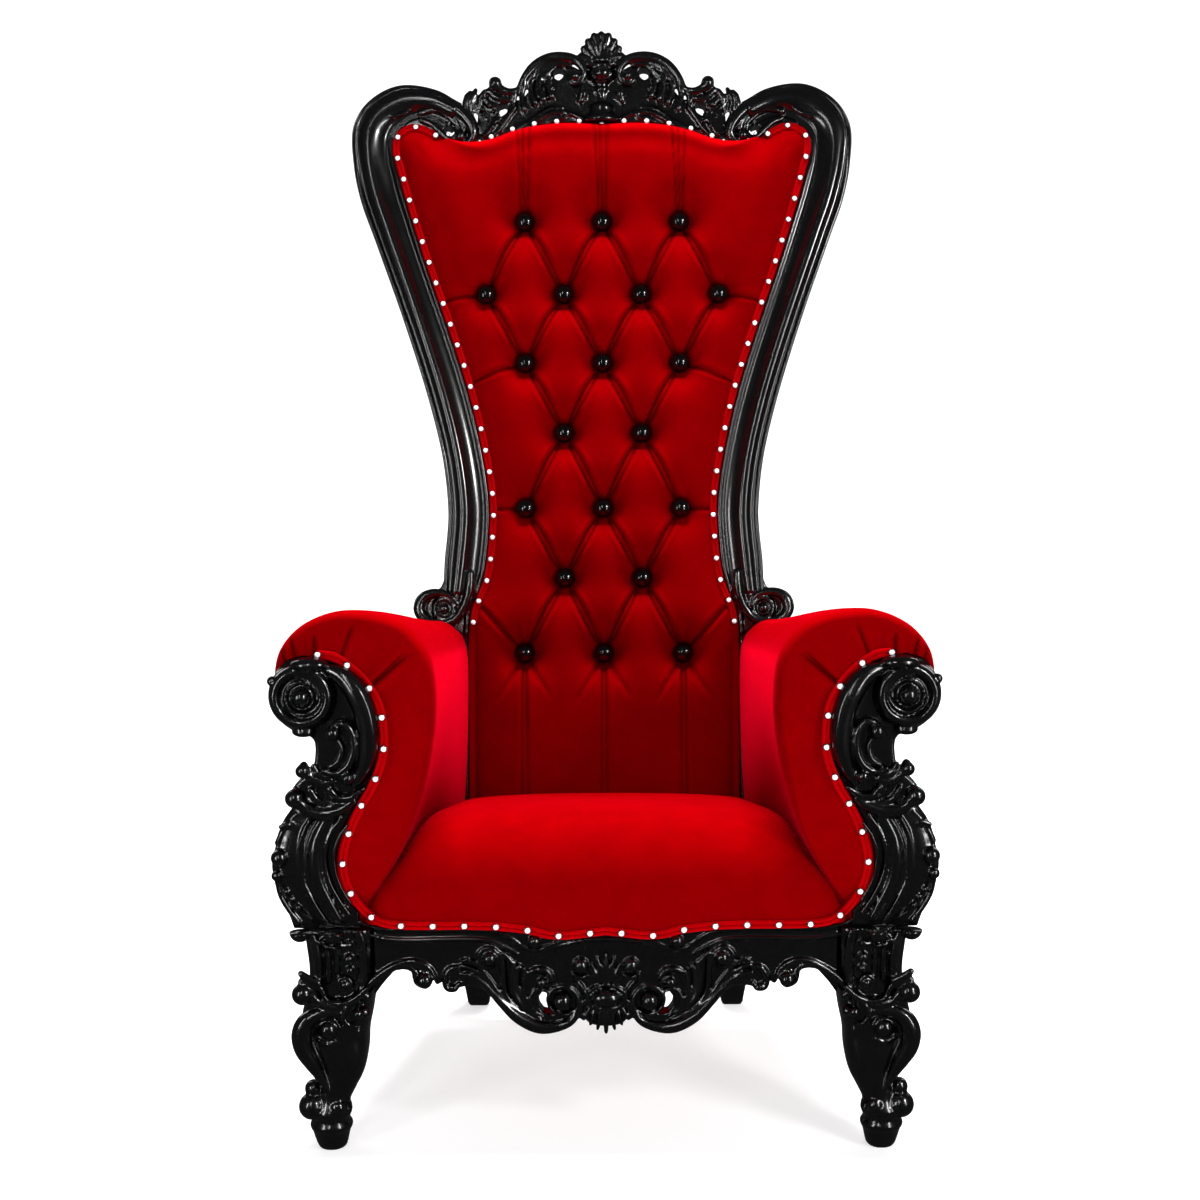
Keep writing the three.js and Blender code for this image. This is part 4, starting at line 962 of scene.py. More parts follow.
def apron_carving():
    """The serpentine apron: mouldings, two great scrolls with leaves, and a shell with a cabochon."""
    carving = Carving(FRONT_FACE + 2)
    half = np.vstack([APRON_TOP, [(1.5, 338.8)], [(1.5, 190)], APRON_BOTTOM[::-1][1:]])
    crescent = np.array([
        (-92, 246), (-84, 243), (-85, 230), (-80, 218), (-72, 212), (-80, 208), (-92, 211), (-99, 221),
        (-100, 235),
    ], float) + (-3, 0)
    carving.plate(half, FRONT_FACE + 1, -353, holes=[crescent], round_over=2)
    bead = [
        [(-373, 356, 2.6), (-360, 350, 2.6), (-340, 344, 2.6), (-308, 343, 2.6), (-246, 342, 2.6),
         (-196, 342, 2.6),
         (-163, 338, 2.6), (-142, 328, 2.6), (-122, 313, 2.6), (-101, 311, 2.6), (-84, 318, 2.6),
         (-60, 328, 2.6),
         (-34, 334, 2.6), (2, 336, 2.6)],
        [(-361, 336, 2.4), (-338, 330, 2.8), (-308, 327, 3.2), (-246, 328, 3.2), (-200, 328, 3.2),
         (-176, 325, 3.2),
         (-156, 317, 2.8), (-134, 305, 2)],
        [(-99, 308, 1.8), (-77, 314, 2.4), (-52, 322, 2.8), (-27, 326, 2.6), (2, 327, 2.6)],
    ]
    carving.strands(bead, 1)
    carving.ball(-108, 326, 10.5, height=7)
    arch = [
        [(-374, 241, 4), (-357, 262, 4), (-334, 281, 3.6), (-308, 293, 3.6), (-287, 294, 3.6),
         (-268, 284, 3.6),
         (-259, 268, 3.4)],
        [(-373, 232, 3), (-365, 250, 4), (-344, 271, 5), (-319, 285, 5), (-298, 285, 5), (-286, 274, 4)],
        [(-289, 290, 3.8), (-276, 281, 4.4), (-268, 266, 4)],
        [(-291, 274, 3.4), (-286, 259, 4), (-274, 253, 3.4)],
    ]
    carving.strands(arch, 3, step=-1)
    carving.ball(-275, 265, 12.5, height=4)
    carving.strand([(-222, 284, 3.8), (-236, 282, 4.8), (-244, 267, 5), (-241, 252, 4.8), (-229, 250, 4),
                    (-223, 259, 3)],
                   height=3)
    carving.ball(-236, 253, 6.5, height=4)
    scroll = [
        (-222, 276, 3), (-202, 272, 4), (-182, 256, 5), (-159, 231, 7), (-133, 207, 9.5), (-102, 192, 10),
        (-75, 192, 8), (-52, 202, 6.6), (-42, 221, 5.4), (-45, 242, 4.6), (-61, 254, 4), (-78, 252, 3.8),
        (-88, 238, 3.4), (-84, 221, 3), (-69, 214, 2.6),
    ]
    carving.strand(scroll, height=6)
    leaves = [
        [(-219, 288, 2.4), (-207, 284, 3.6), (-187, 270, 3.8), (-168, 245, 3.6)],
        [(-212, 299, 2.2), (-197, 291, 3.2), (-177, 268, 3.6), (-157, 239, 3.8), (-134, 219, 3.8),
         (-110, 203, 3.4)],
        [(-171, 314, 2.6), (-158, 299, 4.4), (-156, 274, 4.8), (-153, 246, 4.6), (-139, 223, 4)],
        [(-156, 308, 2.6), (-142, 292, 4.2), (-142, 266, 4.6), (-138, 241, 4.4), (-124, 221, 3.4)],
        [(-131, 288, 2.6), (-135, 266, 3.8), (-132, 242, 4), (-120, 219, 3.8), (-99, 204, 3.4)],
        [(-121, 280, 2.4), (-125, 256, 3.4), (-121, 234, 3.6), (-111, 217, 3.2)],
        [(-118, 275, 3.2), (-106, 281, 4.2), (-91, 279, 4.8), (-83, 268, 4.6), (-94, 259, 4)],
        [(-87, 247, 2.6), (-106, 250, 3.4), (-114, 238, 3.6), (-112, 223, 3.2), (-105, 210, 2.6)],
        [(-218, 295, 2.6), (-209, 297, 2.4)],
    ]
    carving.strands(leaves, 4, step=2)
    carving.ring(-178, 300, 15, 3.6, height=4)
    carving.ball(-176, 299, 11.5, height=5)
    carving.balls([(-138, 293, 3.4), (-124, 283, 3.4)], 6)
    carving.ball(-98, 262, 8.4, height=8)
    carving.ball(-66, 233, 14.5, height=7)
    carving.ring(-65, 233, 22.5, 3.2, height=7)
    carving.ball(-38, 288, 12.5, height=5)
    carving.strand([(-50, 274, 2.6), (-38, 268, 3.2), (-27, 272, 2.6)], height=4)
    carving.strand([(-47, 266, 2.6), (-36, 253, 3.2), (-31, 242, 2.6)], height=4)
    fan = [
        [(-5, 262, 2.8), (-9, 283, 4), (-13, 299, 2.8)],
        [(-11, 262, 2.6), (-17, 277, 3.6), (-21, 289, 2.6)],
    ]
    skirt = [
        [(-7, 219, 3.2), (-10, 203, 4.2), (-13, 188, 3)],
        [(-15, 220, 3), (-20, 208, 4), (-24, 195, 3)],
        [(-23, 222, 2.8), (-29, 213, 3.6), (-34, 203, 3)],
        [(-33, 232, 2.6), (-38, 219, 3), (-37, 205, 2.6)],
    ]
    carving.strands(fan + skirt, 5)
    carving.mirror()
    carving.strand([(0, 262, 3), (0, 285, 4.6), (0, 306, 3)], height=7)
    carving.strand([(0, 219, 3.4), (0, 200, 4.6), (0, 183, 3.4)], height=6)
    carving.ball(0, 237, 25, height=-2, stretch=(1, 0.75, 0.58))
    carving.ring(0, 237, 30, 3.2, height=5, squash=0.64)
    return carving.melted("apron", 1.6, keep=0.42)


# The rear leg: its middle at the foot and at the top, where it straightens as a share of its height, and half
# its thickness at the foot and higher up
REAR_FOOT = (-238, 239)
REAR_TOP = (-290, 188)
REAR_STRAIGHT = 0.77
REAR_HALF = (20, 28)
REAR_SQUARENESS = 7


def rear_leg_form():
    """The plain rear leg, splayed to its foot, with a small chamfer under it."""
    rings = []
    for share in np.linspace(0, 1, 50):
        bend = min(1, share / REAR_STRAIGHT)
        x = REAR_FOOT[0] + (REAR_TOP[0] - REAR_FOOT[0]) * bend**1.8
        y = REAR_FOOT[1] + (REAR_TOP[1] - REAR_FOOT[1]) * (1 - (1 - bend) ** 1.4)
        half = REAR_HALF[0] + (REAR_HALF[1] - REAR_HALF[0]) * min(1, share / 0.25)
        half -= 2.5 * max(0, 1 - share / 0.012)
        rings.append(rounded_ring((x, y, share * RAIL_TOP), (half, half), REAR_SQUARENESS, 40))
    return crisp(solid_object("rear_leg", *skinned(np.array(rings))), 50)


def rail_form(node, name):
    """A plain rail with eased edges, over its CAD node."""
    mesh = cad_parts[node].data.copy()
    thing = in_scene(name, mesh)
    outward(mesh)
    work = bmesh.new()
    work.from_mesh(mesh)
    bmesh.ops.dissolve_limit(work, angle_limit=math.radians(1), verts=work.verts, edges=work.edges)
    work.to_mesh(mesh)
    work.free()
    bevel = thing.modifiers.new("eased", "BEVEL")
    bevel.width = 3 * MM
    bevel.segments = 3
    return crisp(set_mesh(thing), 50)


# Soft pieces

# Depths behind the back's plane: where the pad ends, and where its outside cover starts and stands
PAD_REAR = 26.0
PANEL_RIM = 26.5
PANEL_FLAT = 38
PANEL_CROWN = 6
# How far the pad sinks behind that plane under a button, and at most in a fold
BUTTON_SINK = 4
DEEPEST_FOLD = 9.0
# Along the welted sides: the flat edge, the height it keeps and how far in the pad swells to its full puff
WELTED_EDGE = 12
EDGE_HEIGHT = 2
SWELL_REACH = 96
# Under the crest, where the pad rolls over: the roll's radius, and how far its end sinks behind the plane
ROLL_RADIUS = 30
ROLL_SINK = 8
# A dimple's flat floor and its slope, the painted shade ring round a button, and the painted shade line in a
# fold
DIMPLE_FLOOR = 11
DIMPLE_REACH = 25
BUTTON_SHADE = 20.5
FOLD_SHADE_WIDTH = 2.1


def closed_pad(name, front, rear, leaning=False):
    """A closed pad from a grid of front points and a function that gives the rear rim of their edge."""
    rows, columns = front.shape[:2]
    points = front.reshape(-1, 3)
    index = np.arange(rows * columns).reshape(rows, columns)
    quads = np.stack([index[:-1, :-1], index[:-1, 1:], index[1:, 1:], index[1:, :-1]], axis=-1)
    faces = quads.reshape(-1, 4).tolist()
    loop = np.concatenate([index[0, :], index[1:, -1], index[-1, -2::-1], index[-2:0:-1, 0]])
    rim = rear(points[loop])
    first = len(points)
    after = np.roll(np.arange(len(loop)), -1)
    faces.extend([
        [int(loop[a]), int(loop[b]), first + int(b), first + a] for a, b in zip(range(len(loop)), after)
    ])
    faces.append([first + i for i in range(len(loop))])
    return solid_object(name, np.vstack([points, rim]), faces, leaning)


def with_painted_shade(pad, mask):
    """Stores a painted shade mask on the first points, which darkens the velvet in folds, pleats and round
    buttons.
    """
    values = np.zeros(len(pad.data.vertices), np.float32)
    values[: len(mask)] = mask
    pad.data.attributes.new("crease", "FLOAT", "POINT").data.foreach_set("value", values)
    return pad


def folds_of_the_back():
    """The creases of the buttoned back: start, end, depth at each end, spread, darkness of the painted shade
    line and width.
    """
    folds = []
    for i, here in enumerate(BUTTONS):
        for other in BUTTONS[i + 1:]:
            across, up = np.abs(other - here)
            if 50 < across < 90 and up < 150:
                folds.append((here, other, 12, 12, 4.6, 1, 2.6))
    for x in (-0.154, 0, 0.154):
        here = on_back([(x, 0.752)])[0]
        for start, end in ((-5, -14), (0, -3), (5, 10)):
            folds.append((here + (start, 12), here + (end, 172), 8, 6, 0, 0.7, 2.8))
    for x in (-0.157, 0, 0.157):
        here = on_back([(x, 0.1937)])[0]
        for start, end in ((-3, -6), (3, 6)):
            folds.append((here + (start, -10), here + (end, -330), 8, 4, 0, 0.75, 2.8))
        for reach_x, reach_w in ((-52, -92), (-30, -62), (26, -58), (50, -84), (-14, 58), (10, 60)):
            folds.append((here, here + (reach_x, reach_w), 11, 0, 0, 0.4, 5))
    for side in (-1, 1):
        for button, end in (
            ((0.2315, 0.658), (300, 918)), ((0.154, 0.5687), (238, 770)), ((0.154, 0.3809), (214, 537)),
            ((0.157, 0.1937), (238, 374)),
        ):
            here = on_back([(button[0], button[1])])[0]
            folds.append((here * (side, 1), np.array(end) * (side, 1), 9, 5, 2, 1, 2.8))
    for here in BUTTONS:
        for reach_x, reach_w in ((-16, 46), (18, 44), (-20, -44), (16, -46)):
            folds.append((here, here + (reach_x, reach_w), 6, 0, 0, 0.3, 4.5))
    return folds


def softened(height, rounds, reach):
    """A grid of heights, blurred."""
    kernel = np.ones(reach) / reach
    for _ in range(rounds):
        for axis in (0, 1):
            wide = [(reach // 2, reach // 2) if axis == k else (0, 0) for k in (0, 1)]
            padded = np.pad(height, wide, "edge")
            height = np.apply_along_axis(np.convolve, axis, padded, kernel, "valid")
    return height


def back_grid(across, up):
    """Places in rows over the whole back, from its base up to its top line."""
    left = resampled(SIDE_LINE, up)
    right = left * (-1, 1)
    top = resampled(both_sides(TOP_LINE), across)
    u = np.linspace(0, 1, across + 1)[None, :, None]
    v = np.linspace(0, 1, up + 1)[:, None, None]
    low = left[0] * (1 - u) + right[0] * u
    corners = (1 - v) * low + v * (left[-1] * (1 - u) + right[-1] * u)
    grid = (1 - v) * low + v * top[None, :, :]
    grid = grid + (1 - u) * left[:, None, :] + u * right[:, None, :] - corners
    return grid.reshape(-1, 2)


def back_pad_form():
    """The buttoned back: a rolled edge under the crest, deep dimples and folds between the buttons."""
    sizes = bpy.context.scene.throne_soft
    across, up = 208, 412
    flat = back_grid(across, up)
    welted = np.vstack([SIDE_LINE, TOP_LINE[TOP_LINE[:, 0] < -300]])
    rolled = TOP_LINE[TOP_LINE[:, 0] >= -305]
    mirrored = flat * (-1, 1)
    to_side = np.minimum(distance_to(flat, welted), distance_to(mirrored, welted))
    to_top = np.minimum(distance_to(flat, rolled), distance_to(mirrored, rolled))
    puff = sizes.back_puff / MM
    swell = np.sin(np.clip((to_side - WELTED_EDGE) / SWELL_REACH, 0, 1) * math.pi / 2) ** 0.72
    from_side = EDGE_HEIGHT + (puff - EDGE_HEIGHT) * swell
    roll = np.clip(to_top / ROLL_RADIUS, 0, 1)
    from_top = -ROLL_SINK + (puff + ROLL_SINK) * np.sqrt(1 - (1 - roll) ** 2)
    height = np.minimum(from_side, from_top)
    blurred = softened(height.reshape(up + 1, across + 1), 2, 21).ravel()
    inner = eased((np.minimum(to_side - 6, to_top) - 4) / 50)
    height = height * (1 - inner) + blurred * inner
    # The mask is painted shade: a ring round each button and a line along each fold, kept on the pad to
    # darken the velvet there
    mask = np.zeros(len(flat))
    for place in BUTTONS:
        reach = np.linalg.norm(flat - place, axis=1)
        fall = np.exp(-((np.maximum(reach - DIMPLE_FLOOR, 0) / DIMPLE_REACH) ** 1.25))
        height = height * (1 - fall) - BUTTON_SINK * fall
        # Painted shade ring round the button
        mask = np.maximum(mask, np.exp(-((reach / BUTTON_SHADE) ** 4)) * 0.25)
    inside = np.clip(to_side / 18, 0, 1) * np.clip(to_top / 8, 0.25, 1)
    for start, end, deep_start, deep_end, spread, fold_shade_strength, width in folds_of_the_back():
        run = end - start
        length = np.linalg.norm(run)
        along = np.clip(((flat - start) @ run) / length**2, 0, 1)
        away = flat - start - along[:, None] * run
        side = (away[:, 0] * run[1] - away[:, 1] * run[0]) / length
        past = np.sqrt(np.maximum(np.sum(away * away, axis=1) - side * side, 0))
        bow = spread * np.sin(math.pi * along)
        deep = (deep_start * (1 - along) + deep_end * along) * (0.6 + 0.4 * np.abs(2 * along - 1))
        deep = deep * sizes.fold_depth / (12 * MM) * inside
        for sign, share in ((1, 0.8), (-1, 0.45)) if spread else ((0, 1),):
            distance = np.hypot(side - sign * bow, past)
            height -= deep * share * np.exp(-distance / width)
            # Painted shade line along the fold's bottom
            fold_shade_line = np.exp(-((distance / FOLD_SHADE_WIDTH) ** 2)) * np.clip(deep / 6, 0, 1) * fold_shade_strength * share**0.4
            mask = np.maximum(mask, fold_shade_line)
        if spread > 4:
            height -= 6 * inside * np.exp(-np.hypot(side, past) / 17)
        height += deep * 0.2 * np.exp(-(((np.abs(side) - bow - 8) / 5) ** 2) - (past / 5) ** 2)
    height = np.maximum(height, -DEEPEST_FOLD)
    front = np.stack([flat[:, 0], -height, flat[:, 1]], axis=1).reshape(up + 1, across + 1, 3)
    pad = closed_pad("back_cushion", front, lambda rim: np.stack(
        [rim[:, 0], np.full(len(rim), PAD_REAR), rim[:, 2]], axis=1), leaning=True)
    return with_painted_shade(pad, mask)


def back_panel_form():
    """The plain outside of the back, drawn tight over its board."""
    across, up = 60, 90
    flat = back_grid(across, up) * (0.998, 0.999)
    to_edge = np.minimum(distance_to(flat, OPENING_HALF), distance_to(flat * (-1, 1), OPENING_HALF))
    depth = PANEL_FLAT + PANEL_CROWN * np.sqrt(1 - (1 - np.clip(to_edge / 12, 0, 1)) ** 2)
    face = np.stack([flat[:, 0], depth, flat[:, 1]], axis=1).reshape(up + 1, across + 1, 3)
    return closed_pad("back_outside", face, lambda rim: np.stack(
        [rim[:, 0], np.full(len(rim), PANEL_RIM), rim[:, 2]], axis=1), leaning=True)


ARM_FRONT_SECTION = [
    (-0.745, 0), (-0.718, 0.075), (-0.677, 0.135), (-0.603, 0.28), (-0.55, 0.44), (-0.515, 0.62),
    (-0.509, 0.74),
    (-0.528, 0.865), (-0.601, 0.96), (-0.701, 0.996), (-0.81, 1), (-0.918, 0.955), (-0.982, 0.88),
    (-1, 0.79),
    (-0.982, 0.7), (-0.922, 0.63), (-0.866, 0.58), (-0.858, 0.4), (-0.874, 0.2), (-0.866, 0),
]
ARM_REAR_SECTION = [
    (-0.702, 0), (-0.702, 0.075), (-0.702, 0.16), (-0.702, 0.3), (-0.702, 0.45), (-0.702, 0.63),
    (-0.702, 0.76),
    (-0.713, 0.88), (-0.75, 0.955), (-0.807, 0.995), (-0.869, 1), (-0.932, 0.97), (-0.977, 0.9), (-1, 0.82),
    (-0.994, 0.73), (-0.972, 0.66), (-0.949, 0.6), (-0.943, 0.4), (-0.949, 0.2), (-0.943, 0),
]


def along_arm(t):
    """How far the arm's section has turned into its rear one, from its place along the arm."""
    return t * t * (3 - 2 * t) * 0.35 + t * 0.65


def arm_inner_x(y, z):
    """How far from the middle the arm's inner face is."""
    ease = along_arm(np.clip((y - ARM_FRONT) / (ARM_REAR_Y - ARM_FRONT), 0, 1))
    share = (z - RAIL_TOP) / (ARM_TOP + (ARM_REAR_TOP - ARM_TOP) * ease - RAIL_TOP)
    front = np.interp(share, [w for _, w in ARM_FRONT_SECTION[:7]], [x for x, _ in ARM_FRONT_SECTION[:7]])
    rear = np.interp(share, [w for _, w in ARM_REAR_SECTION[:7]], [x for x, _ in ARM_REAR_SECTION[:7]])
    return -(front * ARM_OUT * (1 - ease) + rear * ARM_REAR_OUT * ease)


# Inside the arm's front, hidden by the post, and the pleats from the post's edge outwards
ARM_SPINE = ((-398, 347), (-424, 400), (-436, 460), (-414, 540), (-396, 610), (-418, 676), (-448, 703))
ARM_PLEATS = (
    ((-350, 716), (-290, 765)), ((-343, 724), (-296, 768)), ((-393, 758), (-374, 810)), ((-431, 762),
                                                                                         (-432, 795)),
    ((-459, 756), (-468, 792)), ((-474, 750), (-482, 776)),
)


# How far the arm's front swells, and over what distance from its edge
ARM_CAP_SWELL = 8.5
ARM_CAP_REACH = 64


def arm_cap(face):
    """Rings of the arm's front, from a line that the post hides out to the rounded edge."""
    spine = smooth_line(ARM_SPINE, 160)
    gaps = np.linalg.norm(face[:, None, :] - spine[None, :, :], axis=2)
    target = spine[np.argmin(gaps, axis=1)]
    around = np.arange(-6, 7)[:, None]
    target = target[(np.arange(len(face))[None, :] + around) % len(face)].mean(axis=0)
    rings = []
    for t in 0.97 * np.linspace(1, 0, 27)[:-1] ** 1.25:
        ring = face + (target - face) * t
        inwards = np.linalg.norm(ring - face, axis=1)
        y = ARM_FRONT - ARM_CAP_SWELL * eased(inwards / ARM_CAP_REACH)
        rings.append(np.stack([ring[:, 0], y, ring[:, 1]], axis=1))
    return np.array(rings)


def arm_pad_form():
    """The rolled arm: padded over the roll, pleated behind the volute, flat on its outer side."""
    sizes = bpy.context.scene.throne_soft
    both = np.array([
        (xf * ARM_OUT, wf * (ARM_TOP - RAIL_TOP), xr * ARM_REAR_OUT, wf, wr)
        for (xf, wf), (xr, wr) in zip(ARM_FRONT_SECTION, ARM_REAR_SECTION)
    ])
    line = smooth_line(both, 400)
    t = np.linspace(0, 1, 46)[:, None] ** 1.5
    reach = t * np.ones((1, len(line)))
    for _ in range(4):
        ease = along_arm(reach)
        top = ARM_TOP + (ARM_REAR_TOP - ARM_TOP) * ease - RAIL_TOP - GAP
        z = RAIL_TOP + GAP + (line[:, 3] * (1 - ease) + line[:, 4] * ease) * top
        plane = PIVOT_Y + (z - PIVOT_Z) * math.tan(LEAN) + 1 - 25 * eased((z - 703) / 14)
        reach = t * (plane - ARM_FRONT) / (ARM_REAR_Y - ARM_FRONT)
    x = line[:, 0] * (1 - ease) + line[:, 2] * ease
    y = ARM_FRONT + reach * (ARM_REAR_Y - ARM_FRONT)
    rings = np.stack([x, y, z], axis=-1)
    for ring in rings:
        back = np.clip((ring[:, 1] - ARM_FRONT) / 34, 0, 1)
        inset = 15 * (1 - np.sqrt(1 - (1 - back) ** 2)) * (0.3 + 0.7 * eased((ring[:, 2] - 470) / 150))
        moved = grown(ring[:, [0, 2]], -1.0) - ring[:, [0, 2]]
        ring[:, [0, 2]] += moved * inset[:, None]
        ring[:, 2] = np.maximum(ring[:, 2], RAIL_TOP + GAP)
    rings = np.concatenate([arm_cap(rings[0][:, [0, 2]]), rings])
    flat = rings.reshape(-1, 3)
    places = flat[:, [0, 2]]
    near = eased((ARM_FRONT + 40 - flat[:, 1]) / 40)
    # The mask is painted shade: a line along each pleat, kept on the arm to darken the velvet there
    mask = np.zeros(len(flat))
    for start, end in ARM_PLEATS:
        start, end = np.array(start, float), np.array(end, float)
        run = end - start
        length = np.linalg.norm(run)
        along = ((places - start) @ run) / length**2
        held = np.clip(along, 0, 1)
        distance = np.linalg.norm(places - start - held[:, None] * run, axis=1)
        fade = near * eased((1.15 - along) / 0.5)
        deep = sizes.pleat_depth / MM * fade
        flat[:, 1] += deep * (0.8 * np.exp(-distance / 2.6) - 0.3 * np.exp(-(((distance - 8) / 5) ** 2)))
        # Painted shade line along the pleat
        mask = np.maximum(mask, np.exp(-((distance / 1.9) ** 2)) * fade * 0.7)
    points, faces = skinned(rings)
    pad = solid_object("arm", points, faces)
    with_painted_shade(pad, mask)
    wide = grown(POST_OUTLINE, 0.6)
    cutter = metres(raw_object("post_space", *plate_parts(wide, -600, POST_BACK + GAP)))
    return crisp(cut(pad, [cutter]), 38)


# The seat's middle line, from the apron over the high front roll to the back
SEAT_LINE = (
    (-392.5, 350), (-392.5, 376), (-389.5, 405), (-381, 437), (-363, 466), (-336, 487), (-300, 497),
    (-257, 500),
    (-190, 493), (-60, 468), (60, 444.5), (139, 429),
)


# Places of the seat: its grid, its front and rear, and its half width where the dome is measured
SEAT_ACROSS = 110
SEAT_FRONT = -392
SEAT_REAR = 139
SEAT_HALF = (372, 308)
SEAT_DOME = 0.18


def seat_form():
    """The domed seat: a high front roll down to the apron, and edges tucked against its neighbours."""
    line = smooth_line(SEAT_LINE, 120)
    out = normals_of(line)
    u = np.linspace(-1, 1, SEAT_ACROSS + 1)[None, :]
    share = (line[:, 0:1] - SEAT_FRONT) / (PIVOT_Y - SEAT_FRONT)
    wide = SEAT_HALF[0] + (SEAT_HALF[1] - SEAT_HALF[0]) * share
    y = line[:, 0:1] * np.ones_like(u)
    z = line[:, 1:2] * np.ones_like(u)
    half = arm_inner_x(y, z) - 0.5
    dome = 1 - SEAT_DOME * (np.abs(u) * half / wide) ** 2.6
    z = RAIL_TOP + (z - RAIL_TOP) * dome
    half = arm_inner_x(y, np.maximum(z, 366)) - 0.5
    x = u * half
    gap = half - np.abs(x)
    tuck = 10 * np.exp(-gap / 8) + 3 * np.exp(-gap / 30)
    tuck += 9 * np.exp(-(SEAT_REAR - y) / 9)
    y = y - out[:, 0:1] * tuck
    z = z - out[:, 1:2] * tuck * np.clip((line[:, 1:2] - 380) / 60, 0, 1)
    low = np.interp(np.abs(x[0]), -APRON_TOP[::-1, 0], APRON_TOP[::-1, 1]) + 0.8
    rise = np.clip((line[:, 1:2] - 350) / 60, 0, 1)
    z = np.where((line[:, 1:2] < 410) & (line[:, 0:1] < 0), low[None, :] * (1 - rise) + z * rise, z)
    grid = np.stack([x, y, z], axis=-1)

    def under(rim):
        depth = np.maximum(rim[:, 1], -352.0)
        reach = np.minimum(np.abs(rim[:, 0]), 352)
        return np.stack([np.sign(rim[:, 0]) * reach, depth, np.full(len(rim), RAIL_TOP + 0.6)], axis=1)

    return crisp(closed_pad("seat_cushion", grid, under), 60)


# Rows that follow a path, made by Geometry Nodes


def new_tree(name, sockets):
    """An empty Geometry Nodes tree: itself, its inputs' identifiers, its input node and its output node."""
    tree = bpy.data.node_groups.new(name, "GeometryNodeTree")
    tree.interface.new_socket("Geometry", in_out="INPUT", socket_type="NodeSocketGeometry")
    tree.interface.new_socket("Geometry", in_out="OUTPUT", socket_type="NodeSocketGeometry")
    keys = {}
    for label, kind in sockets:
        socket = tree.interface.new_socket(label, in_out="INPUT", socket_type=f"NodeSocket{kind}")
        keys[label] = socket.identifier
    return tree, keys, tree.nodes.new("NodeGroupInput"), tree.nodes.new("NodeGroupOutput")


def add_node(tree, kind, settings=None, **inputs):
    """A node with its settings and its linked or plain inputs, their spaces written as underscores."""
    node = tree.nodes.new(kind)
    for key, value in (settings or {}).items():
        setattr(node, key, value)
    for key, value in inputs.items():
        socket = node.inputs[key.replace("_", " ")]
        if isinstance(value, bpy.types.NodeSocket):
            tree.links.new(value, socket)
        else:
            socket.default_value = value
    return node


def joined_parts(tree, parts):
    """Several geometries as one."""
    both = tree.nodes.new("GeometryNodeJoinGeometry")
    for part in parts:
        tree.links.new(part, both.inputs["Geometry"])
    return both.outputs["Geometry"]


def on_points(tree, into, points, part, finish, smooth=True):
    """The part on every point, made real, with one of the tree's material inputs."""
    rows = add_node(
        tree, "GeometryNodeInstanceOnPoints", Points=points, Instance=part, Rotation=into.outputs["Turn"],
        Scale=into.outputs["Diameter"],
    )
    real = add_node(tree, "GeometryNodeRealizeInstances", Geometry=rows.outputs["Instances"])
    shade = add_node(
        tree, "GeometryNodeSetShadeSmooth", Geometry=real.outputs["Geometry"], Shade_Smooth=smooth,
    )
    done = add_node(
        tree, "GeometryNodeSetMaterial", Geometry=shade.outputs["Geometry"], Material=into.outputs[finish],
    )
    return done.outputs["Geometry"]


def welt_tree():
    """A round welt along a path."""
    tree, keys, into, out = new_tree("welt along a path", [("Radius", "Float"), ("Material", "Material")])
    curve = add_node(tree, "GeometryNodeMeshToCurve", Mesh=into.outputs["Geometry"])
    profile = add_node(
        tree, "GeometryNodeCurvePrimitiveCircle", Resolution=12, Radius=into.outputs["Radius"],
    )
    tube = add_node(
        tree, "GeometryNodeCurveToMesh", Curve=curve.outputs["Curve"],
        Profile_Curve=profile.outputs["Curve"], Fill_Caps=True,
    )
    soft = add_node(tree, "GeometryNodeSetShadeSmooth", Geometry=tube.outputs["Mesh"])
    real = add_node(tree, "GeometryNodeRealizeInstances", Geometry=soft.outputs["Geometry"])
    done = add_node(
        tree, "GeometryNodeSetMaterial", Geometry=real.outputs["Geometry"], Material=into.outputs["Material"],
    )
    tree.links.new(done.outputs["Geometry"], out.inputs["Geometry"])
    return tree, keys


def cone(tree, sides, top, bottom, depth):
    """A faceted cone, its sizes as shares of the stud's diameter."""
    return add_node(
        tree, "GeometryNodeMeshCone", Vertices=sides, Radius_Top=top, Radius_Bottom=bottom, Depth=depth,
    ).outputs["Mesh"]


def stud_tree():
    """Faceted studs in collars at the path's points."""
    tree, keys, into, out = new_tree("studs along a path", [
        ("Diameter", "Float"), ("Spacing", "Float"), ("Turn", "Vector"), ("Crystal", "Material"),
        ("Collar", "Material"),
    ])
    curve = add_node(tree, "GeometryNodeMeshToCurve", Mesh=into.outputs["Geometry"])
    spaced = add_node(
        tree, "GeometryNodeResampleCurve", {"mode": "LENGTH"}, Curve=curve.outputs["Curve"],
        Length=into.outputs["Spacing"],
    )
    girdle = cone(tree, 8, 0.36, 0.46, 0.16)
    table = cone(tree, 8, 0.18, 0.36, 0.14)
    low = add_node(tree, "GeometryNodeTransform", Geometry=girdle, Translation=(0, 0, 0.12))
    high = add_node(tree, "GeometryNodeTransform", Geometry=table, Translation=(0, 0, 0.28))
    stone = joined_parts(tree, [low.outputs["Geometry"], high.outputs["Geometry"]])
    cup = cone(tree, 20, 0.5, 0.54, 0.2)
    points = spaced.outputs["Curve"]
    both = joined_parts(tree, [
        on_points(tree, into, points, stone, "Crystal", smooth=False),
        on_points(tree, into, points, cup, "Collar"),
    ])
    tree.links.new(both, out.inputs["Geometry"])
    return tree, keys


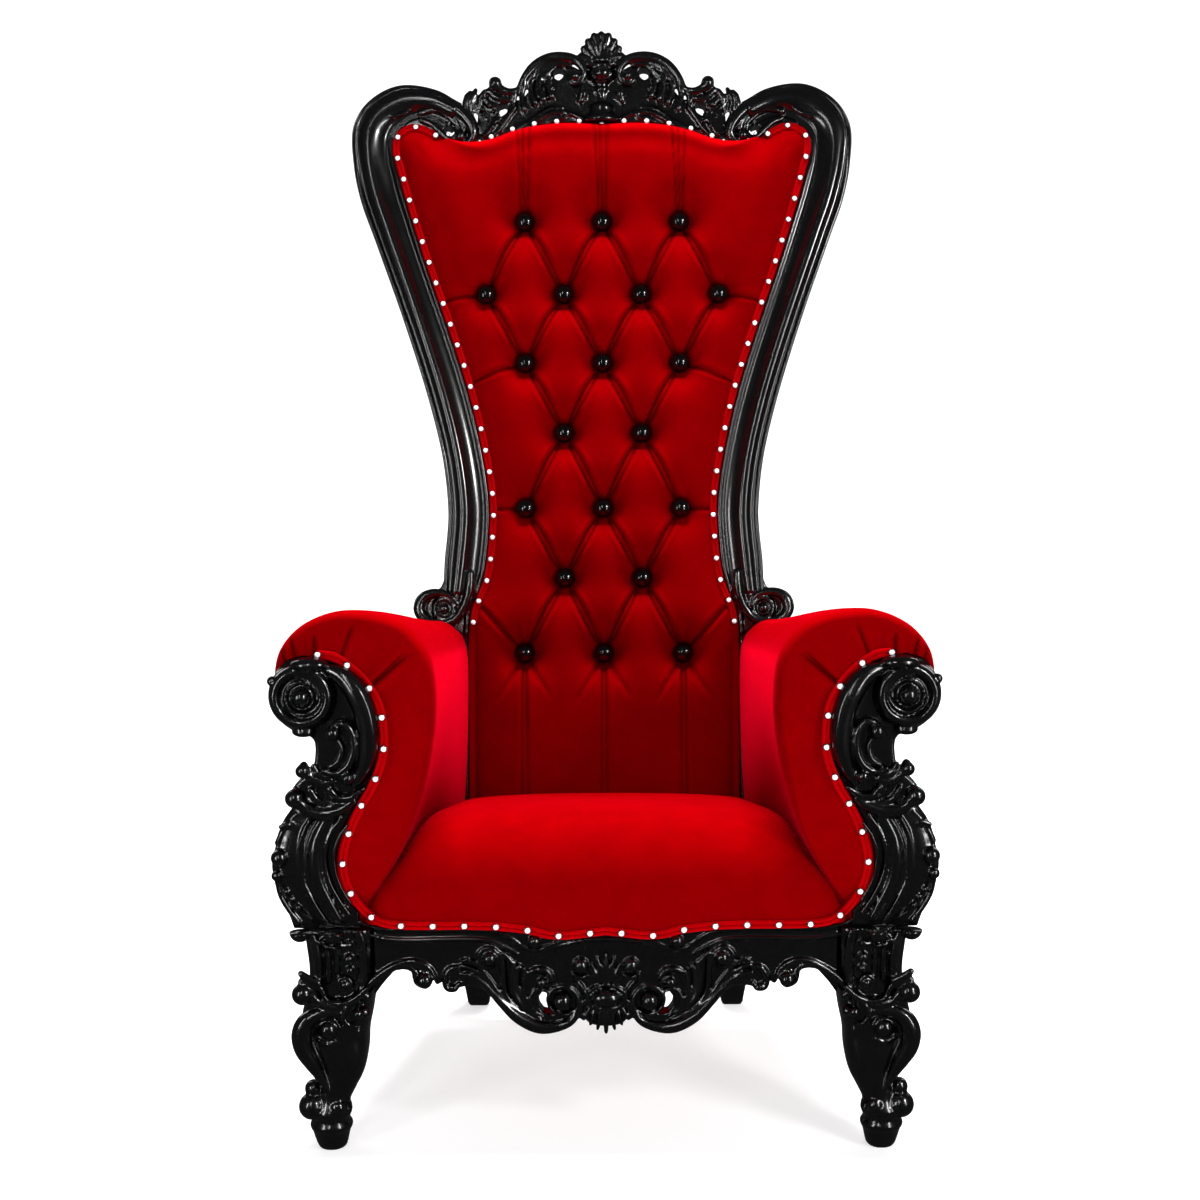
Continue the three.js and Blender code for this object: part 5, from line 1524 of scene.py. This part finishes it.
def button_tree():
    """Glossy domes on the points."""
    tree, keys, into, out = new_tree("buttons on points", [
        ("Diameter", "Float"), ("Turn", "Vector"), ("Material", "Material"),
    ])
    spots = add_node(tree, "GeometryNodeMeshToPoints", Mesh=into.outputs["Geometry"])
    dome = add_node(tree, "GeometryNodeMeshUVSphere", Segments=28, Rings=14, Radius=0.5)
    low = add_node(tree, "GeometryNodeTransform", Geometry=dome.outputs["Mesh"], Scale=(1, 1, 0.94))
    done = on_points(tree, into, spots.outputs["Points"], low.outputs["Geometry"], "Material")
    tree.links.new(done, out.inputs["Geometry"])
    return tree, keys


def path_object(name, lines, leaning=False):
    """Open lines of x, depth and height in millimetres, as edges."""
    points, edges = [], []
    for line in lines:
        first = len(points)
        points.extend(line)
        edges.extend([(i, i + 1) for i in range(first, len(points) - 1)])
    return meshed(name, placed(points, leaning), edges)


def grow_along(thing, tree, keys, values):
    """Runs a tree on the object and keeps the result as its mesh."""
    row = thing.modifiers.new("row", "NODES")
    row.node_group = tree
    for label, value in values.items():
        row[keys[label]] = value
    return set_mesh(thing)


# Finishes


def mottled_group():
    """Soft patches over fine grain, as one mask and one height."""
    group = bpy.data.node_groups.new("mottled surface", "ShaderNodeTree")
    for label, default in (("Patch Scale", 8.0), ("Grain Scale", 400.0), ("Grain Share", 0.3)):
        socket = group.interface.new_socket(label, in_out="INPUT", socket_type="NodeSocketFloat")
        socket.default_value = default
    group.interface.new_socket("Mask", in_out="OUTPUT", socket_type="NodeSocketFloat")
    group.interface.new_socket("Height", in_out="OUTPUT", socket_type="NodeSocketFloat")
    into = group.nodes.new("NodeGroupInput")
    out = group.nodes.new("NodeGroupOutput")
    place = group.nodes.new("ShaderNodeTexCoord")
    patch = add_node(
        group, "ShaderNodeTexNoise", Vector=place.outputs["Object"], Scale=into.outputs["Patch Scale"],
        Detail=4.0, Roughness=0.6,
    )
    grain = add_node(
        group, "ShaderNodeTexNoise", Vector=place.outputs["Object"], Scale=into.outputs["Grain Scale"],
        Detail=3.0, Roughness=0.7,
    )
    blend = add_node(group, "ShaderNodeMix", {"data_type": "FLOAT"})
    group.links.new(into.outputs["Grain Share"], blend.inputs[0])
    group.links.new(patch.outputs["Fac"], blend.inputs[2])
    group.links.new(grain.outputs["Fac"], blend.inputs[3])
    group.links.new(blend.outputs[0], out.inputs["Mask"])
    group.links.new(grain.outputs["Fac"], out.inputs["Height"])
    return group


def ramp_node(tree, mask, stops):
    """A colour ramp over a mask. Stops are pairs of place and colour."""
    node = tree.nodes.new("ShaderNodeValToRGB")
    while len(node.color_ramp.elements) > 1:
        node.color_ramp.elements.remove(node.color_ramp.elements[-1])
    for i, (place, colour) in enumerate(stops):
        element = node.color_ramp.elements[0] if i == 0 else node.color_ramp.elements.new(place)
        element.position = place
        element.color = (*colour, 1)
    tree.links.new(mask, node.inputs["Fac"])
    return node.outputs["Color"]


# Each finish: the mottled group's scales, the colours and roughness at the mask's low and high ends, how far
# and how strongly the grain stands out, and the shader's own values. With a named colour of the user's, the
# colours are shares of it.
MASK_ENDS = (0.3, 0.7)
FINISHES = {
    # Hand-rubbed black lacquer under a clear coat, with faint waves from the carved wood
    "lacquer": {
        "scales": (22.0, 160.0, 0.35), "named": "lacquer", "colours": (0.7, 1.5), "rough": (0.17, 0.23),
        "relief": (0.0004, 0.03),
        "values": {"Specular IOR Level": 0.8, "Coat Weight": 0.2, "Coat Roughness": 0.08},
    },
    # Short-pile red velvet: the nap shades in soft patches, and painted shade darkens it in the folds and
    # round the buttons
    "velvet": {
        "scales": (26.0, 700.0, 0.4), "named": "velvet", "colours": (0.84, 1.08), "ends": (0.3, 0.68),
        "rough": (0.95, 0.78), "relief": (0.0006, 0.35), "fold_shade": 0.1,
        "values": {
            "Sheen Weight": 0.32, "Sheen Roughness": 0.3, "Sheen Tint": (1.0, 0.001, 0.022, 1),
            "Specular IOR Level": 0.0,
        },
    },
    # The brighter, tighter velvet of the welts
    "welt": {
        "scales": (30.0, 900.0, 0.4), "named": "velvet", "colours": (1.4, 1.9), "rough": (0.8, 0.6),
        "relief": (0.0004, 0.3),
        "values": {"Sheen Weight": 0.5, "Sheen Tint": (1.0, 0.0, 0.02, 1), "Specular IOR Level": 0.0},
    },
    # Faceted white stones
    "crystal": {
        "scales": (90.0, 300.0, 0.3), "colours": ((0.82, 0.84, 0.88),
                                                  (0.95, 0.95, 0.97)), "rough": (0.05, 0.12),
        "values": {"Coat Weight": 1.0, "Coat Roughness": 0.02},
    },
    # The dark nickel cups that hold the stones
    "collar": {
        "scales": (120.0, 500.0, 0.5), "colours": ((0.1, 0.1, 0.11),
                                                   (0.2, 0.2, 0.21)), "rough": (0.2, 0.35),
        "values": {"Metallic": 1.0},
    },
    # Polished black buttons
    "button": {
        "scales": (60.0, 300.0, 0.3), "colours": ((0.0004, 0.0004, 0.0004), (0.0008, 0.0008, 0.0009)),
        "rough": (0.13, 0.18), "values": {"Coat Weight": 0.2, "Coat Roughness": 0.05},
    },
}


def painted_fold_shade(tree, shade, darker):
    """The colour, darkened by painted shade where the piece's stored shade mask is high."""
    fold = add_node(tree, "ShaderNodeAttribute", {"attribute_name": "crease"})
    mix = add_node(tree, "ShaderNodeMix", {"data_type": "RGBA", "blend_type": "MIX"})
    tree.links.new(fold.outputs["Fac"], mix.inputs[0])
    tree.links.new(shade, mix.inputs[6])
    mix.inputs[7].default_value = (*darker, 1)
    return mix.outputs[2]


def new_material(name, recipe):
    """A material that follows its row of FINISHES."""
    material = bpy.data.materials.new(name)
    material.use_nodes = True
    tree = material.node_tree
    shader = tree.nodes["Principled BSDF"]
    mottle = tree.nodes.new("ShaderNodeGroup")
    mottle.node_tree = bpy.data.node_groups.get("mottled surface") or mottled_group()
    for key, value in zip(("Patch Scale", "Grain Scale", "Grain Share"), recipe["scales"]):
        mottle.inputs[key].default_value = value
    mask = mottle.outputs["Mask"]
    colours = recipe["colours"]
    if "named" in recipe:
        base = tuple(getattr(bpy.context.scene.throne_finish, recipe["named"]))
        colours = [[part * share for part in base] for share in colours]
    shade = ramp_node(tree, mask, zip(recipe.get("ends", MASK_ENDS), colours))
    if "fold_shade" in recipe:
        # Painted shade in folds, pleats and round buttons, from the piece's stored mask
        shade = painted_fold_shade(tree, shade, [part * recipe["fold_shade"] for part in base])
    tree.links.new(shade, shader.inputs["Base Color"])
    rough = ramp_node(tree, mask, zip(MASK_ENDS, [(share,) * 3 for share in recipe["rough"]]))
    tree.links.new(rough, shader.inputs["Roughness"])
    if "relief" in recipe:
        distance, strength = recipe["relief"]
        bump = add_node(
            tree, "ShaderNodeBump", Strength=strength, Distance=distance, Height=mottle.outputs["Height"],
        )
        tree.links.new(bump.outputs["Normal"], shader.inputs["Normal"])
    for key, value in recipe["values"].items():
        shader.inputs[key].default_value = value
    return material


def finish_named(key):
    """The material, made the first time it is asked for."""
    return bpy.data.materials.get(f"throne {key}") or new_material(f"throne {key}", FINISHES[key])


# Sizes and colours that a user would change


def length(name, description, default, least, most):
    """A length in metres that a user can change."""
    return bpy.props.FloatProperty(
        name=name, description=description, default=default, min=least, max=most, subtype="DISTANCE",
        unit="LENGTH",
    )


def colour(name, description, default):
    """A colour that a user can change."""
    return bpy.props.FloatVectorProperty(
        name=name, description=description, default=default, size=3, min=0, max=1, subtype="COLOR",
    )


class ThroneSoftSizes(bpy.types.PropertyGroup):
    back_puff: length("Back puff", "How far the back stands out between its buttons", 0.034, 0.01, 0.05)
    fold_depth: length("Fold depth", "Depth of the folds between the buttons", 0.012, 0.0, 0.03)
    pleat_depth: length("Pleat depth", "Depth of the pleats on the arms' rolls", 0.006, 0.0, 0.02)
    button_diameter: length("Button diameter", "Width of the back's buttons", 0.038, 0.01, 0.06)


class ThroneTrimSizes(bpy.types.PropertyGroup):
    welt_radius: length("Welt radius", "Half the thickness of the welts", 0.0032, 0.001, 0.01)
    stud_diameter: length("Stud diameter", "Width of a stud's stone", 0.0105, 0.004, 0.03)
    back_spacing: length("Stud spacing, back", "From one stud to the next round the back", 0.039, 0.01, 0.1)
    front_spacing: length(
        "Stud spacing, front", "From one stud to the next on the arms and seat", 0.0475, 0.01, 0.1,
    )


class ThroneFinishes(bpy.types.PropertyGroup):
    velvet: colour("Velvet", "Colour of the velvet", (0.14, 0.0, 0.0004))
    lacquer: colour("Lacquer", "Colour of the lacquer", (0.0004, 0.0004, 0.0005))


# The steps


class ThroneStiles(bpy.types.Operator):
    """Builds the two moulded stiles of the back with their ears and lower volutes"""

    bl_idname = "throne.stiles"
    bl_label = "Back stiles"

    def execute(self, context):
        left = join("stile_left", [stile_rail(), stile_ear(), stile_foot()])
        dress_pair(left, "stile", "lacquer", "back_stile")
        return {"FINISHED"}


class ThroneCrest(bpy.types.Operator):
    """Builds the carved crest"""

    bl_idname = "throne.crest"
    bl_label = "Crest"

    def execute(self, context):
        dress(crest_carving(), "lacquer", "crest_rail")
        return {"FINISHED"}


class ThronePosts(bpy.types.Operator):
    """Builds the two carved arm posts"""

    bl_idname = "throne.posts"
    bl_label = "Arm posts"

    def execute(self, context):
        dress_pair(post_carving(), "post", "lacquer", "arm_post")
        return {"FINISHED"}


class ThroneLegs(bpy.types.Operator):
    """Builds the carved front legs and the plain rear legs"""

    bl_idname = "throne.legs"
    bl_label = "Legs"

    def execute(self, context):
        front, rear = leg_carving(), rear_leg_form()
        dress_pair(front, "carved_leg", "lacquer", "front_leg")
        dress_pair(rear, "plain_leg", "lacquer", "rear_leg")
        return {"FINISHED"}


class ThroneRails(bpy.types.Operator):
    """Builds the carved apron and the plain rails behind it"""

    bl_idname = "throne.rails"
    bl_label = "Apron and rails"

    def execute(self, context):
        dress(apron_carving(), "lacquer", "front_apron")
        rails = {"side_rail_left": "rail_left", "side_rail_right": "rail_right", "rear_rail": "rail_rear"}
        for node, name in rails.items():
            dress(rail_form(node, name), "lacquer", node)
        return {"FINISHED"}


class ThroneBackPads(bpy.types.Operator):
    """Builds the buttoned back and its plain outside"""

    bl_idname = "throne.back_pads"
    bl_label = "Back pads"

    def execute(self, context):
        dress(back_pad_form(), "velvet", "back_pad")
        dress(back_panel_form(), "velvet", "back_panel")
        return {"FINISHED"}


class ThroneArmPads(bpy.types.Operator):
    """Builds the two rolled arms"""

    bl_idname = "throne.arm_pads"
    bl_label = "Arm pads"

    def execute(self, context):
        for arm in dress_pair(arm_pad_form(), "arm", "velvet", "arm_pad"):
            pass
        return {"FINISHED"}


class ThroneSeat(bpy.types.Operator):
    """Builds the domed seat"""

    bl_idname = "throne.seat"
    bl_label = "Seat"

    def execute(self, context):
        dress(seat_form(), "velvet", "seat_pad")
        return {"FINISHED"}


# The line between red and black on the front, from the arm's top to the middle of the apron
TRIM_LINE = [
    (-425, 766), (-402, 763), (-380, 749), (-362, 733), (-346, 712), (-335, 690), (-330, 664), (-329, 627),
    (-335, 598), (-349, 565), (-363, 541), (-380, 506), (-391, 476), (-395, 450), (-393, 428), (-386, 407),
    (-375, 388), (-358, 369), (-336, 357), (-308, 353), (-257, 352), (-208, 352), (-160, 350), (-112, 344),
    (-90, 338), (-62, 336), (-33, 339), (0, 343),
]


# The welts' and studs' inset from the black, and their lift off the velvet
BACK_WELTS = ((3.4, 3), (9.6, 3.6))
FRONT_WELTS = ((-3.3, 0), (3.3, 0.4))
BACK_STUDS = (6.5, 5.5)
FRONT_STUDS = (0, 2.6)
BUTTON_DEPTH = -1.5


def trim_path(inset, lift):
    """The front's trim, inset from the black, as x, depth and height."""
    line = both_sides(smooth_line(TRIM_LINE, 150))
    line = offset_line(line, inset)
    depth = -387.5 - 5.5 * eased((362 - np.abs(line[:, 0])) / 24) - lift
    return np.stack([line[:, 0], depth, line[:, 1]], axis=1)


def back_trim_path(inset, lift, reach=-300.0):
    """The back's trim on the left, from the seat up to where the pad rolls over."""
    line = offset_line(OPENING_HALF, -inset)
    line = line[(line[:, 0] < reach) | (line[:, 1] < 1190)]
    line = line[line[:, 1] > 330]
    line = resampled(line, 200)
    return np.stack([line[:, 0], np.full(len(line), -lift), line[:, 1]], axis=1)


class ThroneTrim(bpy.types.Operator):
    """Builds the buttons, the double welts and the studs"""

    bl_idname = "throne.trim"
    bl_label = "Buttons, welts and studs"

    def execute(self, context):
        soft, trim = context.scene.throne_soft, context.scene.throne_trim
        facing_front = (math.pi / 2, 0, 0)
        facing_back = (math.pi / 2 - LEAN, 0, 0)
        spots = np.column_stack([BUTTONS[:, 0], np.full(len(BUTTONS), BUTTON_DEPTH), BUTTONS[:, 1]])
        tree, keys = button_tree()
        buttons = grow_along(path_object("buttons", [spots], leaning=True), tree, keys, {
            "Diameter": soft.button_diameter, "Turn": facing_back, "Material": finish_named("button"),
        })
        nodes = [f"back_button_{i + 1:02d}" for i in range(len(BUTTONS))]
        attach(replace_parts(buttons, *nodes), "root")

        tree, keys = welt_tree()
        back = [back_trim_path(*place) for place in BACK_WELTS]
        back += [line * (-1, 1, 1) for line in back]
        front = [trim_path(*place) for place in FRONT_WELTS]
        for name, lines, leaning in (("welt_back", back, True), ("welt_front", front, False)):
            welt = grow_along(path_object(name, lines, leaning), tree, keys, {
                "Radius": trim.welt_radius, "Material": finish_named("welt"),
            })
            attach(welt, "root")

        tree, keys = stud_tree()
        side = back_trim_path(*BACK_STUDS)
        top = np.column_stack([TOP_LINE[:, 0], np.full(len(TOP_LINE), -4.0), TOP_LINE[:, 1] + 2])
        top = both_sides(top[top[:, 0] > -285])
        rows = (
            ("studs_back", [side, side * (-1, 1, 1), top], True, trim.back_spacing, facing_back),
            ("studs_front", [trim_path(*FRONT_STUDS)], False, trim.front_spacing, facing_front),
        )
        for name, lines, leaning, spacing, turn in rows:
            studs = grow_along(path_object(name, lines, leaning), tree, keys, {
                "Diameter": trim.stud_diameter, "Spacing": spacing, "Turn": turn,
                "Crystal": finish_named("crystal"), "Collar": finish_named("collar"),
            })
            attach(studs, "root")
        return {"FINISHED"}


# The lights: place, target, size, power, and whether they show in reflections
LIGHTS = {
    "key": ((2.0, -2.0, 2.1), (0, 0.1, 0.9), (0.5, 0.5), 36, True),
    "strip left": ((-0.8, -3.0, 2.1), (0, 0.1, 1.0), (0.09, 1.6), 14, True),
    "low left": ((-1.9, -2.2, 1.0), (0, 0, 0.6), (0.14, 1.5), 17, True),
    "low right": ((1.9, -2.2, 1.0), (0, 0, 0.6), (0.14, 1.5), 20, True),
    "rear left": ((-1.9, 1.3, 1.7), (0, 0, 1.0), (0.4, 2.0), 8, True),
    "rear right": ((1.9, 1.3, 1.7), (0, 0, 1.0), (0.4, 2.0), 8, True),
    "top": ((0.1, 0.42, 4.0), (0, -0.2, 0.5), (1.6, 1.2), 640, False),
    "low front": ((0.2, -3.2, 0.8), (0, 0, 0.5), (1.8, 0.8), 26, False),
}
# The camera, worked out from the photograph
CAMERA_PLACE = (-0.005, -2.9613, 1.175)
CAMERA_PITCH = 7.3
CAMERA_ROLL = 0.25
CAMERA_LENS = 52.74


def area_light(name, place, target, size, power, glossy):
    """A rectangular light that faces its target, or a round one where its sides are equal."""
    lamp = bpy.data.lights.new(name, "AREA")
    lamp.shape = "DISK" if size[0] == size[1] else "RECTANGLE"
    lamp.size, lamp.size_y = size
    lamp.energy = power
    thing = bpy.data.objects.new(name, lamp)
    bpy.context.scene.collection.objects.link(thing)
    way = np.array(target, float) - np.array(place, float)
    reach = np.linalg.norm(way)
    thing.location = place
    thing.rotation_euler = (math.acos(-way[2] / reach), 0, math.atan2(way[1], way[0]) - math.pi / 2)
    thing.visible_glossy = glossy


def pale_floor():
    """A level floor that curves up far behind the chair."""
    turn = np.radians(np.linspace(0, 90, 16))
    profile = [(-9.0, 0.0), (-3.0, 0.0), (1.5, 0.0)]
    profile += [(3.0 + 2.0 * math.sin(a), 2.0 - 2.0 * math.cos(a)) for a in turn]
    profile += [(5.0, 9.0)]
    points = [(x, y, z) for y, z in profile for x in (-12.0, 12.0)]
    faces = [[2 * i, 2 * i + 1, 2 * i + 3, 2 * i + 2] for i in range(len(profile) - 1)]
    floor = meshed("floor", points, faces=faces)
    floor.data.shade_smooth()
    pale = bpy.data.materials.new("pale floor")
    pale.use_nodes = True
    shader = pale.node_tree.nodes["Principled BSDF"]
    shader.inputs["Base Color"].default_value = (0.6, 0.6, 0.6, 1)
    shader.inputs["Roughness"].default_value = 0.7
    shader.inputs["Specular IOR Level"].default_value = 0.1
    shader.inputs["Emission Color"].default_value = (1, 1, 1, 1)
    shader.inputs["Emission Strength"].default_value = 0.6
    floor.data.materials.append(pale)
    floor.visible_glossy = False
    return floor


class ThroneStage(bpy.types.Operator):
    """Builds the pale floor, the lights and the camera"""

    bl_idname = "throne.stage"
    bl_label = "Stage"

    def execute(self, context):
        scene = context.scene
        floor = pale_floor()

        world = bpy.data.worlds.new("studio")
        world.use_nodes = True
        world.node_tree.nodes["Background"].inputs["Color"].default_value = (1, 1, 1, 1)
        world.node_tree.nodes["Background"].inputs["Strength"].default_value = 0.05
        scene.world = world
        for name, light in LIGHTS.items():
            area_light(name, *light)

        lens = bpy.data.cameras.new("camera")
        lens.sensor_width = 36
        lens.lens = CAMERA_LENS
        lens.clip_end = 100
        camera = bpy.data.objects.new("camera", lens)
        scene.collection.objects.link(camera)
        camera.location = CAMERA_PLACE
        camera.rotation_euler = (math.radians(90 - CAMERA_PITCH), math.radians(CAMERA_ROLL), 0)
        scene.camera = camera
        scene.view_settings.view_transform = "Standard"
        return {"FINISHED"}


STEPS = (
    ThroneStage, ThroneStiles, ThroneCrest, ThronePosts, ThroneLegs, ThroneRails, ThroneBackPads,
    ThroneArmPads, ThroneSeat, ThroneTrim,
)


class ThronePanel(bpy.types.Panel):
    """The throne's sizes, colours and steps"""

    bl_idname = "VIEW3D_PT_throne"
    bl_label = "Throne chair"
    bl_space_type = "VIEW_3D"
    bl_region_type = "UI"
    bl_category = "Throne"

    def draw(self, context):
        layout = self.layout
        for group in (context.scene.throne_soft, context.scene.throne_trim, context.scene.throne_finish):
            box = layout.box()
            for key in group.__annotations__:
                box.prop(group, key)
        for step in STEPS:
            layout.operator(step.bl_idname)


CLASSES = (ThroneSoftSizes, ThroneTrimSizes, ThroneFinishes, *STEPS, ThronePanel)


def register():
    for kind in CLASSES:
        bpy.utils.register_class(kind)
    bpy.types.Scene.throne_soft = bpy.props.PointerProperty(type=ThroneSoftSizes)
    bpy.types.Scene.throne_trim = bpy.props.PointerProperty(type=ThroneTrimSizes)
    bpy.types.Scene.throne_finish = bpy.props.PointerProperty(type=ThroneFinishes)


def unregister():
    for kind in reversed(CLASSES):
        bpy.utils.unregister_class(kind)
    del bpy.types.Scene.throne_soft
    del bpy.types.Scene.throne_trim
    del bpy.types.Scene.throne_finish


def main():
    register()
    for step in STEPS:
        family, action = step.bl_idname.split(".")
        getattr(getattr(bpy.ops, family), action)()


if __name__ == "__main__":
    main()
